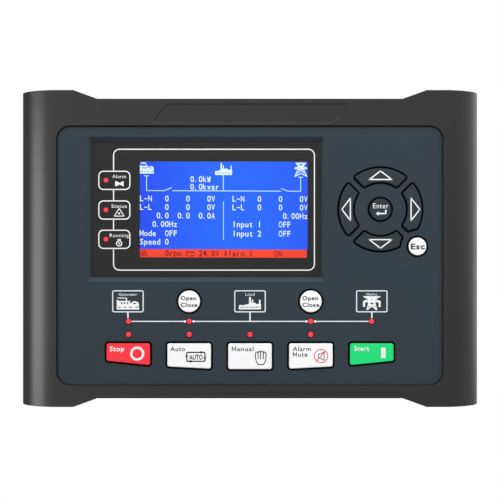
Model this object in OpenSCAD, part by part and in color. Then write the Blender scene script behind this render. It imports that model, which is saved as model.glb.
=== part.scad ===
// Panel-mounted genset controller with a 4.3-inch display, built as separate pieces.
// Millimetres. +X is right, +Z is up and the front faces -Y.
// Y = 0 is the plane where the bezel's rear rim meets the mounting panel.

/* [Bezel] */
// Overall width
bezel_w = 268; // [264:1:300]
// Overall height over the ears
bezel_h = 182; // [180:1:210]
// Depth of the roll along each side
ear_roll = 15; // [12:0.5:18]
// Width of the roll
ear_run = 22; // [20:0.5:23]
// Straight part of each side behind the roll
ear_land = 1; // [0.5:0.1:4]
// Width of each ear along its top edge
ear_w = 32.5; // [24:0.5:34]
// Run of the slope between an ear and the bar
ear_slope = 13.8; // [6:0.2:20]
// Step from the ears to the bars
notch_depth = 5; // [2:0.5:6]
// Wall of the hollow ears
ear_wall = 2.5; // [1.5:0.1:4]
// Ribs inside each ear
ear_ribs = 3; // [1:1:6]
// Width of the bare plaque recess
plaque_w = 111; // [60:1:150]
// Height of the plaque recess
plaque_h = 10.4; // [8:0.1:12]
// Lean of the plaque's ends, in degrees
plaque_lean = 33; // [10:1:40]
// Depth of the plaque recess
plaque_depth = 0.5; // [0.2:0.1:1.5]
// Run of the slope round the plaque
plaque_slope = 0.5; // [0.2:0.1:1]

/* [Fascia] */
// Width of the fascia panel
fascia_w = 222; // [218:1:226]
// Height of the fascia panel
fascia_h = 149; // [147:0.5:152]
// Height of the fascia's centre
fascia_z = -4.1; // [-5:0.1:-3]
// Corner radius of the fascia
fascia_r = 7.5; // [3:0.5:12]
// Set-back of the fascia behind the bezel's front
fascia_inset = 1.2; // [0.5:0.1:2]
// Thickness of the fascia
fascia_t = 2.5; // [2:0.1:4]
// Gap round the fascia
fascia_gap = 0.3; // [0.1:0.05:0.6]
// Thickness of the ledge behind the fascia
ledge_t = 2.5; // [1.5:0.1:3]
// Width of the ledge above and below
ledge_w = 3; // [2:0.1:4]

/* [Display] */
// Width of the window's visible glass
window_w = 133.2; // [128:0.2:134]
// Height of the window's visible glass
window_h = 78.6; // [75:0.2:79]
// Window centre, sideways
window_x = -25.5; // [-26:0.1:-24]
// Window centre, height
window_z = 22.7; // [22:0.1:23.5]
// Thickness of the window
window_t = 2; // [1.5:0.1:3]
// Hidden margin of the window behind the fascia
window_lip = 2; // [1:0.1:2.5]
// Run of the frame's slope at the sides
window_slope = 1.3; // [0.5:0.1:1.8]
// Run of the frame's slope at the top
head_slope = 2.4; // [0.5:0.1:3]
// Run of the frame's slope at the sill
sill_slope = 2.6; // [1:0.1:4]
// Foam between the window and the display
foam_t = 0.5; // [0.3:0.1:1]
// Width of the display module
lcd_w = 105.5; // [103:0.5:107]
// Height of the display module
lcd_h = 67.2; // [65:0.2:70]
// Thickness of the display module
lcd_t = 2.8; // [2.4:0.1:4]
// Display centre, sideways
lcd_x = -15.3; // [-17:0.1:-14]
// Display centre, height
lcd_z = 22.3; // [21:0.1:23]
// Border of the metal frame round the picture
lcd_border = 3.6; // [3:0.1:4]

/* [Keys] */
// Sideways pitch of the key columns
col_pitch = 35; // [34:0.1:36]
// Width of a mode key's opening
key_w = 26.7; // [22:0.1:28]
// Height of the middle mode key's opening
key_h = 16.6; // [14:0.1:17]
// Top edge of the mode keys' openings
key_top = -53.7; // [-54.5:0.1:-53.5]
// Radius of the curve under the mode keys
row_curve = 697; // [500:1:1200]
// Corner radius of the mode keys' openings
key_r = 2; // [1:0.1:4]
// Gap between a key and its opening
key_gap = 0.85; // [0.4:0.05:1]
// Height of the keys above the fascia
key_proud = 0.8; // [0.5:0.1:2]
// Bevel round a key's face
key_edge = 0.4; // [0.2:0.05:0.5]
// Travel of the keys
key_travel = 1; // [0.5:0.1:1.2]
// Hidden lip that keeps a key behind the fascia
key_lip = 0.8; // [0.4:0.1:1]
// Diameter of a key's contact post
key_post = 5; // [3:0.1:6]
// Radius of the round breaker keys' openings
breaker_r = 7.06; // [6:0.02:7.4]
// Height of the breaker keys
breaker_z = -30.4; // [-30.6:0.1:-30]
// Arrow pad centre, sideways
pad_x = 75; // [74:0.1:76]
// Arrow pad centre, height
pad_z = 22.5; // [20:0.1:25]
// Outer radius of the arrow keys' openings
pad_out = 24.6; // [24:0.1:25.2]
// Inner radius of the arrow keys' openings
pad_in = 15; // [14:0.1:17]
// Space between neighbouring arrow openings
pad_spoke = 3.4; // [3:0.1:5]
// Radius of the enter key's opening
enter_r = 7.07; // [6:0.01:9]
// Radius of the escape key's opening
esc_r = 5.93; // [5:0.01:6.2]
// Distance of the escape key from the pad's centre
esc_far = 30.1; // [29.5:0.1:31]
// Radius of the relief round the escape key
esc_relief = 9.5; // [9:0.1:10]

/* [Lights] */
// Diameter of a light's lens
lens_d = 3; // [2.5:0.1:3.6]
// Gap round a lens
lens_gap = 0.1; // [0.05:0.01:0.2]
// Height of the upper row of lights
light_z1 = -41.95; // [-42.2:0.05:-41.6]
// Height of the lower row of lights
light_z2 = -49.5; // [-49.6:0.05:-49]
// Distance of the alarm lights from the window's left side
alarm_x = 8.8; // [6:0.1:10]
// Drop of the middle alarm light below the window's centre
alarm_z = 0.3; // [-1:0.1:2]
// Pitch of the alarm lights
alarm_pitch = 17.05; // [14:0.05:18]

/* [Boards] */
// Thickness of both boards
pcb_t = 1.6; // [1:0.1:2]
// Gap between the front board and the housing
pcb_gap = 1; // [0.5:0.1:1.5]
// Space between the two boards
board_space = 15; // [13:0.5:20]
// Width of the rear board
io_w = 184; // [180:1:186]
// Height of the rear board
io_h = 146; // [140:1:148]
// Distance of the board spacers from the vent cover's sides
spacer_inset = 10; // [9:0.1:11]

/* [Housing] */
// Width of the opening in the mounting panel
cutout_w = 214; // [212:1:216]
// Height of the opening in the mounting panel
cutout_h = 160; // [158:1:161]
// Gap between the opening and the housing
cutout_gap = 2; // [1:0.1:3]
// Gap between the housing's rim and the bezel
rim_gap = 0.2; // [0.1:0.05:0.4]
// Wall of the housing
housing_wall = 2.5; // [2:0.1:3]
// Width of the vent cover
hump_w = 176; // [172:1:180]
// Height of the vent cover
hump_h = 92; // [88:1:98]
// Depth of the vent cover
hump_d = 14.8; // [13:0.1:22]
// Vent slots in each group
vents = 9; // [5:1:12]
// Sideways place of the tie screws
tie_x = 98; // [97.5:0.1:98.3]
// Diameter of the tie screws
tie_d = 3; // [2.5:0.1:3.2]
// Height of the upper tie screws
tie_high = 62; // [60:0.5:64]
// Height of the middle tie screws
tie_mid = -20; // [-24:0.5:-16]
// Height of the lower tie screws
tie_low = -66; // [-68:0.5:-64]

/* [Terminals] */
// Pitch of the terminals
term_pitch = 5.08; // [5:0.02:5.1]
// Height of each terminal row from the middle
term_z = 62; // [61:0.1:63]
// Depth of the pin headers
header_d = 8.5; // [8:0.1:10]
// Height of the pin headers
header_h = 8.6; // [8:0.1:9]
// Depth of a plug's body
plug_d = 9.1; // [8:0.1:12]
// Height of a plug's body
plug_h = 12; // [11:0.1:14]
// Diameter of the terminal screws
term_screw = 3.2; // [2.5:0.1:3.6]

/* [Clips] */
// Height of the fixing clips from the middle
clip_z = 48; // [46:1:50]
// Width of a clip
clip_w = 14; // [12:0.5:16]
// Thickness of the panel that the clips can hold
panel_t = 3; // [2.5:0.1:3.5]
// Reach of a clip's screw from the housing
clip_reach = 7; // [6:0.1:9]
// Diameter of the clip screws
clip_screw = 4; // [3:0.1:5]

/* [Hidden] */
$fn = 64;
steps = 5;
pad_r = 1.5;
key_slack = 0.2;
lip_t = 0.8;
mat_t = 1;
contact_t = 0.1;
chip_t = 0.8;
bezel_depth = ear_roll + ear_land;
front_y = -bezel_depth;
roll_turn = asin(0.6);
roll_share = sin(roll_turn) + cos(roll_turn) - 1;
wide_r = (ear_run * cos(roll_turn) - ear_roll * (1 - sin(roll_turn))) / roll_share;
side_r = (ear_roll * sin(roll_turn) - ear_run * (1 - cos(roll_turn))) / roll_share;
fascia_y = front_y + fascia_inset;
fascia_back = fascia_y + fascia_t;
window_back = fascia_back + window_t;
lcd_front = window_back + foam_t;
pcb_front = lcd_front + lcd_t;
pcb_back = pcb_front + pcb_t;
io_front = pcb_back + board_space;
io_back = io_front + pcb_t;
ledge_in = io_back + 0.4;
ledge_y = ledge_in + housing_wall;
hump_y = ledge_y + hump_d;
rim_y = fascia_back + ledge_t;
housing_w = cutout_w - 2 * cutout_gap;
housing_h = cutout_h - 2 * cutout_gap;
cavity_w = housing_w + 2 * rim_gap;
cavity_h = housing_h + 2 * rim_gap;
inner_w = housing_w - 2 * housing_wall;
inner_h = housing_h - 2 * housing_wall;
gasket_in = 2.2;
gasket_w = 3;
gasket_t = 1.5;
gasket_out = gasket_in + gasket_w;
hollow_x = max(fascia_w / 2 + fascia_gap, cavity_w / 2 + gasket_out) + ear_wall;
hollow_h = bezel_h - 2 * ear_wall;
fascia_top = fascia_z + fascia_h / 2;
fascia_bottom = fascia_z - fascia_h / 2;
key_front = fascia_y - key_proud;
lip_front = fascia_back + key_slack;
lip_back = lip_front + lip_t;
post_end = pcb_front - contact_t - key_travel - 0.1;
collar_front = lip_back + key_travel + 0.3;
pad_c = [pad_x, pad_z];
pad_mid = (pad_out + pad_in) / 2;
esc_c = pad_c + esc_far * [cos(45), -sin(45)];
row_mid = key_top - key_h / 2;
breakers = [[-col_pitch, breaker_z], [col_pitch, breaker_z]];
posts = concat(
    [for (k = [-2:2]) [k * col_pitch, row_mid]],
    [for (k = [0:3]) pad_c + pad_mid * [-sin(90 * k), cos(90 * k)]],
    breakers, [pad_c, esc_c]);
status_lights = concat(
    [for (k = [-2, -1, 1, 2]) [k * col_pitch, light_z1]],
    [for (k = [-2:1]) [k * col_pitch, light_z2]]);
alarm_lights = [for (k = [-1:1])
    [window_x - window_w / 2 + alarm_x, window_z - alarm_z + k * alarm_pitch]];
ties = [for (s = [-1, 1], z = [tie_high, tie_mid, tie_low]) [s * tie_x, z]];
spacers = [for (s = [-1, 1], t = [-1, 1])
    [s * (hump_w / 2 - spacer_inset), t * (hump_h / 2 - spacer_inset)]];
screw_gap = 0.2;
screw_head = 5.6;
head_t = 2;
slot_w = 0.8;
slot_l = 4;
tie_sink = 3;
tie_boss = 7;
tie_column = 7.4;
spacer_d = 6.4;
spacer_bore = 8;
chip_w = 16;
chip_h = 1.4;
chip_x = -40;
chip_z = 30;
chip_pitch = 1.3;
chip_leg = 2;
cell_x = 48;
cell_z = 30;
cell_d = 20;
cell_t = 3.2;
cell_floor = 0.8;
cell_wall = 1.3;
link_ways = 20;
link_pitch = 2.54;
link_w = link_ways * link_pitch + 1.2;
link_h = 5.4;
link_base = 2.5;
link_pin = 6.3;
pin_w = 0.64;
relay_w = 17;
relay_h = 15;
relay_d = 11.5;
relay_pitch = 20;
relay_inset = 28;
relay_z = 28;
coil_d = 18;
coil_base = 2;
coil_t = 10;
coil_pitch = 23;
coil_inset = 32;
coil_z = -26;
cap_d = 10;
cap_t = 12.5;
cap_pitch = 15;
cap_inset = 32;
vent_w = 3;
vent_h = 26;
vent_pitch = 7;
vent_z = 22;
cover_fit = 0.15;
cover_lip = 1.2;
bead = 0.35;
bead_t = 0.8;
open_w = hump_w - 2 * housing_wall;
open_h = hump_h - 2 * housing_wall;
bead_y = (ledge_in + ledge_y) / 2;
top_ways = [14, 12];
low_ways = [10, 12, 8];
term_x0 = -86;
term_gap = 6;
term_wall = 1.1;
term_fit = 0.15;
wire_d = 3.2;
term_pin = 1;
port_x = 72;
port_w = 12;
port_h = 10.6;
port_wall = 0.5;
header_floor = 2.5;
plug_y = io_back + header_d + 0.2;
plug_back = plug_y + plug_d;
clip_y = panel_t + 1;
clip_t = 2;
tab_t = 2;
tab_w = 9.4;
clip_back = 8;
clip_foot = 4;
clip_lug = 5;
clip_end = ledge_y + clip_back;
clip_x = housing_w / 2 + clip_reach;
clip_tabs = [clip_y + 0.8, ledge_in - tab_t - 0.6];

// Outline helpers. A corner is [x, z, radius].
function unit(v) = v / norm(v);
function flat(p) = [p.x, p.y];
function bend(a, b, c, r, n) =
    r <= 0 ? [b] :
    let (u = unit(a - b), v = unit(c - b), half = acos(u * v) / 2,
         mid = b + unit(u + v) * r / sin(half),
         p = b + u * r / tan(half) - mid, q = b + v * r / tan(half) - mid,
         start = atan2(p.y, p.x), turn = atan2(cross(p, q), p * q))
    [for (i = [0:n]) mid + r * [cos(start + turn * i / n), sin(start + turn * i / n)]];
function rounded(c, n = steps) =
    let (k = len(c))
    [for (i = [0:k - 1])
        each bend(flat(c[(i + k - 1) % k]), flat(c[i]), flat(c[(i + 1) % k]), c[i].z, n)];
function box_pts(x0, x1, z0, z1, r, n = steps) =
    rounded([[x0, z0, r], [x1, z0, r], [x1, z1, r], [x0, z1, r]], n);
function centred(w, h, r, c = [0, 0], n = steps) =
    box_pts(c.x - w / 2, c.x + w / 2, c.y - h / 2, c.y + h / 2, r, n);
function shrink_r(r, g) = max(0.3, r + g);

// Outline of the bezel seen from the front.
bar_x = bezel_w / 2 - ear_w - ear_slope;
bezel_half = [[bar_x, bezel_h / 2 - notch_depth], [bezel_w / 2 - ear_w, bezel_h / 2],
    [bezel_w / 2, bezel_h / 2]];
bezel_pts = concat(
    [for (i = [2:-1:0]) bezel_half[i]],
    [for (i = [0:2]) [-bezel_half[i].x, bezel_half[i].y]],
    [for (i = [2:-1:0]) [-bezel_half[i].x, -bezel_half[i].y]],
    [for (i = [0:2]) [bezel_half[i].x, -bezel_half[i].y]]);

// Outline of the plaque recess, midway between the fascia and the bar's top edge.
plaque_run = plaque_h * tan(plaque_lean);
plaque_z = (fascia_top + bezel_h / 2 - notch_depth) / 2 - 0.6;
plaque_r = 7;
function plaque_pts(g) =
    let (out = g / cos(plaque_lean), shift = g * tan(plaque_lean), w = plaque_w / 2,
         z0 = plaque_z - plaque_h / 2 - g, z1 = plaque_z + plaque_h / 2 + g)
    rounded([[-w - out - shift, z0, 0.4 + g], [w - plaque_run + out - shift, z0, plaque_r + g],
        [w + out + shift, z1, 0.4 + g], [-w + plaque_run - out + shift, z1, plaque_r + g]], 7);

// Key outlines, grown by g on every side.
function row_low(x, g) =
    key_top - key_h + row_curve - sqrt(pow(row_curve + g, 2) - x * x);
function row_key(k, g) =
    let (x0 = k * col_pitch - key_w / 2 - g, x1 = k * col_pitch + key_w / 2 + g,
         r = shrink_r(key_r, g))
    rounded([[x0, row_low(x0, g), r], [x1, row_low(x1, g), r],
        [x1, key_top + g, r], [x0, key_top + g, r]]);
function arrow_up(g, relief) =
    let (e = [cos(45), sin(45)], n = [-sin(45), cos(45)], r = shrink_r(pad_r, g),
         s = pad_spoke / 2 - g, ro = pad_out + g, ri = pad_in - g, rho = esc_relief - g,
         in_a = 45 + asin(s / ri), end_a = 45 + asin(s / ro),
         cut_a = 45 + acos((ro * ro + esc_far * esc_far - rho * rho) / (2 * ro * esc_far)),
         first = relief ? cut_a : end_a,
         b0 = asin(s / rho),
         b1 = acos((esc_far * esc_far + rho * rho - ro * ro) / (2 * esc_far * rho)),
         bite = [for (i = [0:3]) let (b = b0 + (b1 - b0) * i / 3)
             esc_far * e + rho * (sin(b) * n - cos(b) * e)],
         right = relief ? [for (i = [0:3]) [bite[i].x, bite[i].y, i == 0 || i == 3 ? r : 0]]
             : [[ro * cos(end_a), ro * sin(end_a), r]])
    rounded(concat(
        [[ri * cos(in_a), ri * sin(in_a), r]], right,
        [for (i = [1:9]) let (a = first + (180 - end_a - first) * i / 10)
            [ro * cos(a), ro * sin(a), 0]],
        [[-ro * cos(end_a), ro * sin(end_a), r], [-ri * cos(in_a), ri * sin(in_a), r]],
        [for (i = [1:7]) let (a = 180 - in_a + (2 * in_a - 180) * i / 8)
            [ri * cos(a), ri * sin(a), 0]]), 3);
function turned(p, a) = [p.x * cos(a) - p.y * sin(a), p.x * sin(a) + p.y * cos(a)];
function arrow_key(k, g) =
    let (p = arrow_up(g, k > 1), m = len(p))
    [for (i = [0:m - 1])
        pad_c + (k == 2 ? turned([-p[m - 1 - i].x, p[m - 1 - i].y], 180) : turned(p[i], 90 * k))];

// Window opening at a share of its slope, 0 at the glass and 1 at the fascia's face.
function window_pts(f) = box_pts(
    window_x - window_w / 2 - window_slope * f, window_x + window_w / 2 + window_slope * f,
    window_z - window_h / 2 - sill_slope * f, window_z + window_h / 2 + head_slope * f,
    0.8, 4);

// Terminal blocks.
function block_w(n) = n * term_pitch + 2 * term_wall;
function block_x(w, k) =
    k == 0 ? term_x0 + block_w(w[0]) / 2
    : block_x(w, k - 1) + (block_w(w[k - 1]) + block_w(w[k])) / 2 + term_gap;

// Solids drawn in the front view and set in depth.
module slab(y0, y1) {
    translate([0, y1, 0]) rotate([90, 0, 0]) linear_extrude(y1 - y0) children();
}
module rod(p, y0, y1, d) {
    translate([p.x, y0, p.y]) rotate([-90, 0, 0]) cylinder(h = y1 - y0, d = d);
}
module cone(p, y0, y1, d0, d1) {
    translate([p.x, y0, p.y]) rotate([-90, 0, 0]) cylinder(h = y1 - y0, d1 = d0, d2 = d1);
}
module block(x0, x1, y0, y1, z0, z1) {
    translate([x0, y0, z0]) cube([x1 - x0, y1 - y0, z1 - z0]);
}
module plate(w, h, y0, y1, c = [0, 0]) {
    block(c.x - w / 2, c.x + w / 2, y0, y1, c.y - h / 2, c.y + h / 2);
}
// The end faces fan out from corner number first, which sees all the others.
module loft(a, y0, b, y1, first = 0) {
    n = len(a);
    polyhedron(
        points = concat([for (p = a) [p.x, y0, p.y]], [for (p = b) [p.x, y1, p.y]]),
        faces = concat(
            [[for (i = [0:n - 1]) (first - i + n) % n], [for (i = [0:n - 1]) n + (first + i) % n]],
            [for (i = [0:n - 1]) [i, (i + 1) % n, n + (i + 1) % n, n + i]]));
}

// Plan of the bezel, set in by a wall. Each side rolls back in a wide arc and then a tight one.
function off_front(c, r, t) = c + r * [sin(t), -cos(t)];
module roll_arc(c, r, t0, t1) {
    intersection() {
        translate(c) circle(r);
        polygon([off_front(c, 0.7 * r, t0), off_front(c, 2 * r, t0), off_front(c, 2 * r, t1),
            off_front(c, 0.7 * r, t1)]);
    }
}
module bezel_plan(inset) {
    wide_c = [bezel_w / 2 - ear_run, front_y + wide_r];
    side_c = [bezel_w / 2 - side_r, -ear_land];
    half = [off_front(wide_c, wide_r - inset, 0), off_front(side_c, side_r - inset, roll_turn),
        off_front(side_c, side_r - inset, 90), [bezel_w / 2 - inset, 2]];
    polygon(concat(half, [for (i = [3:-1:0]) [-half[i].x, half[i].y]]));
    for (s = [0, 1]) mirror([s, 0]) {
        roll_arc(wide_c, wide_r - inset, 0, roll_turn);
        roll_arc(side_c, side_r - inset, roll_turn, 90);
    }
}

module front_bezel() {
    cell = hollow_h / (ear_ribs + 1);
    color("#3a3a3a") difference() {
        intersection() {
            slab(front_y - 1, 0) polygon(bezel_pts);
            translate([0, 0, -bezel_h]) linear_extrude(2 * bezel_h) bezel_plan(0);
        }
        slab(front_y - 1, fascia_back)
            polygon(centred(fascia_w + 2 * fascia_gap, fascia_h + 2 * fascia_gap,
                fascia_r + fascia_gap, [0, fascia_z], 8));
        block(-cavity_w / 2, cavity_w / 2, fascia_back - 1, rim_y + 1,
            fascia_bottom + ledge_w, fascia_top - ledge_w);
        plate(cavity_w, cavity_h, rim_y, 1);
        slab(-gasket_t, 1) difference() {
            square([cavity_w + 2 * gasket_out, cavity_h + 2 * gasket_out], center = true);
            square([cavity_w + 2 * gasket_in, cavity_h + 2 * gasket_in], center = true);
        }
        loft(plaque_pts(2 * plaque_slope), front_y - plaque_depth, plaque_pts(0), front_y + plaque_depth);
        for (s = [-1, 1], k = [0:ear_ribs]) intersection() {
            translate([0, 0, -bezel_h]) linear_extrude(2 * bezel_h) bezel_plan(ear_wall);
            block(s > 0 ? hollow_x : -bezel_w, s > 0 ? bezel_w : -hollow_x, front_y - 1, 1,
                -hollow_h / 2 + k * cell + 0.75, -hollow_h / 2 + (k + 1) * cell - 0.75);
        }
    }
}

module panel_gasket() {
    color("#151515") slab(-gasket_t, 0) difference() {
        square([cavity_w + 2 * gasket_out - 0.1, cavity_h + 2 * gasket_out - 0.1], center = true);
        square([cavity_w + 2 * gasket_in + 0.1, cavity_h + 2 * gasket_in + 0.1], center = true);
    }
}

module fascia_panel() {
    over = 0.5 / fascia_t;
    color("#3c444a") difference() {
        union() {
            slab(fascia_y, fascia_back) polygon(centred(fascia_w, fascia_h, fascia_r, [0, fascia_z], 8));
            for (p = ties) rod(p, fascia_back, pcb_front, tie_boss);
        }
        loft(window_pts(1 + over), fascia_y - 0.5, window_pts(-over), fascia_back + 0.5);
        for (k = [-2:2]) slab(fascia_y - 1, fascia_back + 1) polygon(row_key(k, 0));
        for (k = [0:3]) slab(fascia_y - 1, fascia_back + 1) polygon(arrow_key(k, 0));
        for (p = breakers) rod(p, fascia_y - 1, fascia_back + 1, 2 * breaker_r);
        rod(pad_c, fascia_y - 1, fascia_back + 1, 2 * enter_r);
        rod(esc_c, fascia_y - 1, fascia_back + 1, 2 * esc_r);
        for (p = status_lights) rod(p, fascia_y - 1, fascia_back + 1, lens_d + 2 * lens_gap);
        for (p = ties) rod(p, fascia_back + 0.4, pcb_front + 1, tie_d + screw_gap);
    }
}

module display_window() {
    color("#343434") slab(fascia_back, window_back)
        polygon(centred(window_w + 2 * window_lip, window_h + 2 * window_lip, 1.5,
            [window_x, window_z]));
}

module display_gasket() {
    color("#101010") difference() {
        plate(lcd_w, lcd_h, window_back, lcd_front, [lcd_x, lcd_z]);
        plate(lcd_w - 2 * lcd_border + 1, lcd_h - 2 * lcd_border - 2.6, window_back - 1, lcd_front + 1,
            [lcd_x, lcd_z]);
    }
}

module lcd_frame() {
    color("#b8bcc0") difference() {
        plate(lcd_w, lcd_h, lcd_front, pcb_front, [lcd_x, lcd_z]);
        plate(lcd_w - 0.8, lcd_h - 0.8, lcd_front + 0.3, pcb_front + 1, [lcd_x, lcd_z]);
        plate(lcd_w - 2 * lcd_border, lcd_h - 2 * lcd_border - 3.6, lcd_front - 1, lcd_front + 1,
            [lcd_x, lcd_z]);
    }
}

module lcd_glass() {
    color("#3366ff") plate(lcd_w - 1, lcd_h - 1, lcd_front + 0.3, pcb_front, [lcd_x, lcd_z]);
}

module lcd_ribbon() {
    low = lcd_z - lcd_h / 2;
    color("#b5651d") block(lcd_x - 15, lcd_x + 15, pcb_front - 0.9, pcb_front - 0.6, low - 6, low);
}

module lcd_connector() {
    low = lcd_z - lcd_h / 2;
    color("#e8e2d0") difference() {
        block(lcd_x - 17, lcd_x + 17, pcb_front - 1.4, pcb_front, low - 7, low - 3.5);
        block(lcd_x - 15.2, lcd_x + 15.2, pcb_front - 1, pcb_front - 0.5, low - 6.2, low - 3);
    }
}

module keypad_mat() {
    left = -2 * col_pitch - key_w / 2 - 2;
    right = inner_w / 2 - pcb_gap;
    high = pad_z + pad_out + 2;
    side = pad_x - pad_out - 2;
    step = lcd_z - lcd_h / 2 - 9;
    low = -inner_h / 2 + pcb_gap + 1;
    color("#202020") difference() {
        union() {
            slab(pcb_front - mat_t, pcb_front) polygon([[left, low], [right, low], [right, high],
                [side, high], [side, step], [left, step]]);
            for (p = posts) cone(p, collar_front, pcb_front - mat_t, key_post + 3, key_post + 5);
        }
        for (p = posts) rod(p, collar_front - 1, pcb_front + 1, key_post + 1.2);
        for (p = status_lights) rod(p, collar_front - 1, pcb_front + 1, lens_d + 2.4);
        for (p = ties) rod(p, collar_front - 1, pcb_front + 1, tie_boss + 0.8);
    }
}

// A key that is cut from an outline: bevelled face, body, hidden lip and post.
module outline_key(face, body, lip, post, first = 0) {
    loft(face, key_front, body, key_front + key_edge, first);
    slab(key_front + key_edge, lip_front) polygon(body);
    slab(lip_front, lip_back) polygon(lip);
    rod(post, lip_back, post_end, key_post);
}
module round_key(c, r) {
    d = 2 * (r - key_gap);
    cone(c, key_front, key_front + key_edge, d - 2 * key_edge, d);
    rod(c, key_front + key_edge, lip_front, d);
    rod(c, lip_front, lip_back, 2 * (r + key_lip));
    rod(c, lip_back, post_end, key_post);
}
module mode_key(k) {
    outline_key(row_key(k, -key_gap - key_edge), row_key(k, -key_gap), row_key(k, key_lip), posts[k + 2]);
}
module pad_key(k) {
    body = arrow_key(k, -key_gap);
    outline_key(arrow_key(k, -key_gap - key_edge), body, arrow_key(k, key_lip), posts[k + 5],
        k == 2 ? len(body) - 18 : k == 3 ? 17 : 12);
}

module stop_key() { color("#fe444e") mode_key(-2); }
module auto_key() { color("#ffffff") mode_key(-1); }
module manual_key() { color("#ffffff") mode_key(0); }
module mute_key() { color("#ffffff") mode_key(1); }
module start_key() { color("#2de480") mode_key(2); }
module up_key() { color("#3c4247") pad_key(0); }
module left_key() { color("#3c4247") pad_key(1); }
module down_key() { color("#3c4247") pad_key(2); }
module right_key() { color("#3c4247") pad_key(3); }
module generator_breaker_key() { color("#ffffff") round_key(breakers[0], breaker_r); }
module mains_breaker_key() { color("#ffffff") round_key(breakers[1], breaker_r); }
module enter_key() { color("#3c4247") round_key(pad_c, enter_r); }
module esc_key() { color("#ffffff") round_key(esc_c, esc_r); }

module status_light_pipes() {
    color("#f5454a") for (p = status_lights) {
        intersection() {
            rod(p, fascia_y - 1, fascia_back, lens_d);
            translate([p.x, fascia_y - 0.3 + lens_d, p.y]) sphere(d = 2 * lens_d);
        }
        rod(p, fascia_back, fascia_back + 1, lens_d + 1.2);
        rod(p, fascia_back + 1, pcb_front - chip_t - 0.2, lens_d - 0.6);
    }
}

module alarm_light_pipes() {
    color("#f5454a") for (p = alarm_lights) rod(p, window_back, pcb_front - chip_t, lens_d - 0.2);
}

module led_chips() {
    color("#f2f0e4") for (p = concat(status_lights, alarm_lights))
        plate(2.2, 1.6, pcb_front - chip_t, pcb_front, p);
}

module key_contacts() {
    color("#d8b24a") for (p = posts) rod(p, pcb_front - contact_t, pcb_front, key_post - 0.4);
}

module front_pcb() {
    color("#1f5a36") difference() {
        plate(inner_w - 2 * pcb_gap, inner_h - 2 * pcb_gap, pcb_front, pcb_back);
        for (p = ties) rod(p, pcb_front - 1, pcb_back + 1, tie_d + 2 * screw_gap);
    }
}

module processor() {
    far = chip_w / 2 + 0.6;
    color("#1b1b1d") {
        plate(chip_w, chip_w, pcb_back + 0.1, pcb_back + 0.1 + chip_h, [chip_x, chip_z]);
        for (s = [-1, 1], k = [-5:5]) {
            plate(chip_leg, 0.6, pcb_back, pcb_back + 0.4, [chip_x + s * far, chip_z + k * chip_pitch]);
            plate(0.6, chip_leg, pcb_back, pcb_back + 0.4, [chip_x + k * chip_pitch, chip_z + s * far]);
        }
    }
}

module battery_holder() {
    c = [cell_x, cell_z];
    color("#2a2a2c") difference() {
        rod(c, pcb_back, pcb_back + cell_floor + cell_t + 0.4, cell_d + 0.4 + 2 * cell_wall);
        rod(c, pcb_back + cell_floor, pcb_back + cell_floor + cell_t + 1, cell_d + 0.4);
    }
}

module clock_battery() {
    color("#c9ccd0") rod([cell_x, cell_z], pcb_back + cell_floor, pcb_back + cell_floor + cell_t, cell_d);
}

module board_socket() {
    color("#18181a") difference() {
        plate(link_w, link_h, pcb_back, io_front - link_base);
        for (s = [-1, 1])
            plate(link_w - 1.6, 1.2, io_front - link_base - link_pin - 0.7, io_front,
                [0, s * link_pitch / 2]);
    }
}

module board_header() {
    color("#222226") plate(link_w, link_h, io_front - link_base, io_front);
    color("#d8b24a") for (s = [-1, 1], k = [0:link_ways - 1])
        plate(pin_w, pin_w, io_front - link_base - link_pin, io_front - link_base,
            [(k - (link_ways - 1) / 2) * link_pitch, s * link_pitch / 2]);
}

module pcb_spacers() {
    color("#c9a14a") for (p = spacers) difference() {
        translate([p.x, pcb_back, p.y]) rotate([-90, 0, 0])
            cylinder(h = board_space, d = spacer_d, $fn = 6);
        rod(p, io_front - spacer_bore, io_front + 1, tie_d + screw_gap);
    }
}

module board_screws() {
    color("#b9bdc2") for (p = spacers) difference() {
        union() {
            rod(p, io_back, io_back + head_t, screw_head);
            rod(p, io_front - spacer_bore + 2, io_back, tie_d);
        }
        plate(slot_l, slot_w, io_back + head_t - 0.8, io_back + head_t + 1, p);
    }
}

module io_pcb() {
    color("#1f5a36") difference() {
        plate(io_w, io_h, io_front, io_back);
        for (p = spacers) rod(p, io_front - 1, io_back + 1, tie_d + 2 * screw_gap);
    }
}

// Parts on the rear board, set out from the vent cover's sides.
module output_relays() {
    color("#20407a") for (k = [0:5])
        plate(relay_w, relay_h, io_back, io_back + relay_d,
            [-hump_w / 2 + relay_inset + k * relay_pitch, relay_z]);
}

module current_transformers() {
    color("#1d2230") for (k = [0:2]) let (c = [-hump_w / 2 + coil_inset + k * coil_pitch, coil_z]) {
        plate(coil_d, coil_t, io_back, io_back + coil_base, c);
        rod(c, io_back + coil_base, io_back + coil_base + coil_t, coil_d);
    }
}

module capacitors() {
    color("#2b2f3a") for (k = [0:2])
        rod([hump_w / 2 - cap_inset - k * cap_pitch, coil_z], io_back, io_back + cap_t, cap_d);
}

module housing_ring(w, h, y0, y1) {
    slab(y0, y1) polygon(centred(w, h, 3, [0, 0], 4));
}

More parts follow.
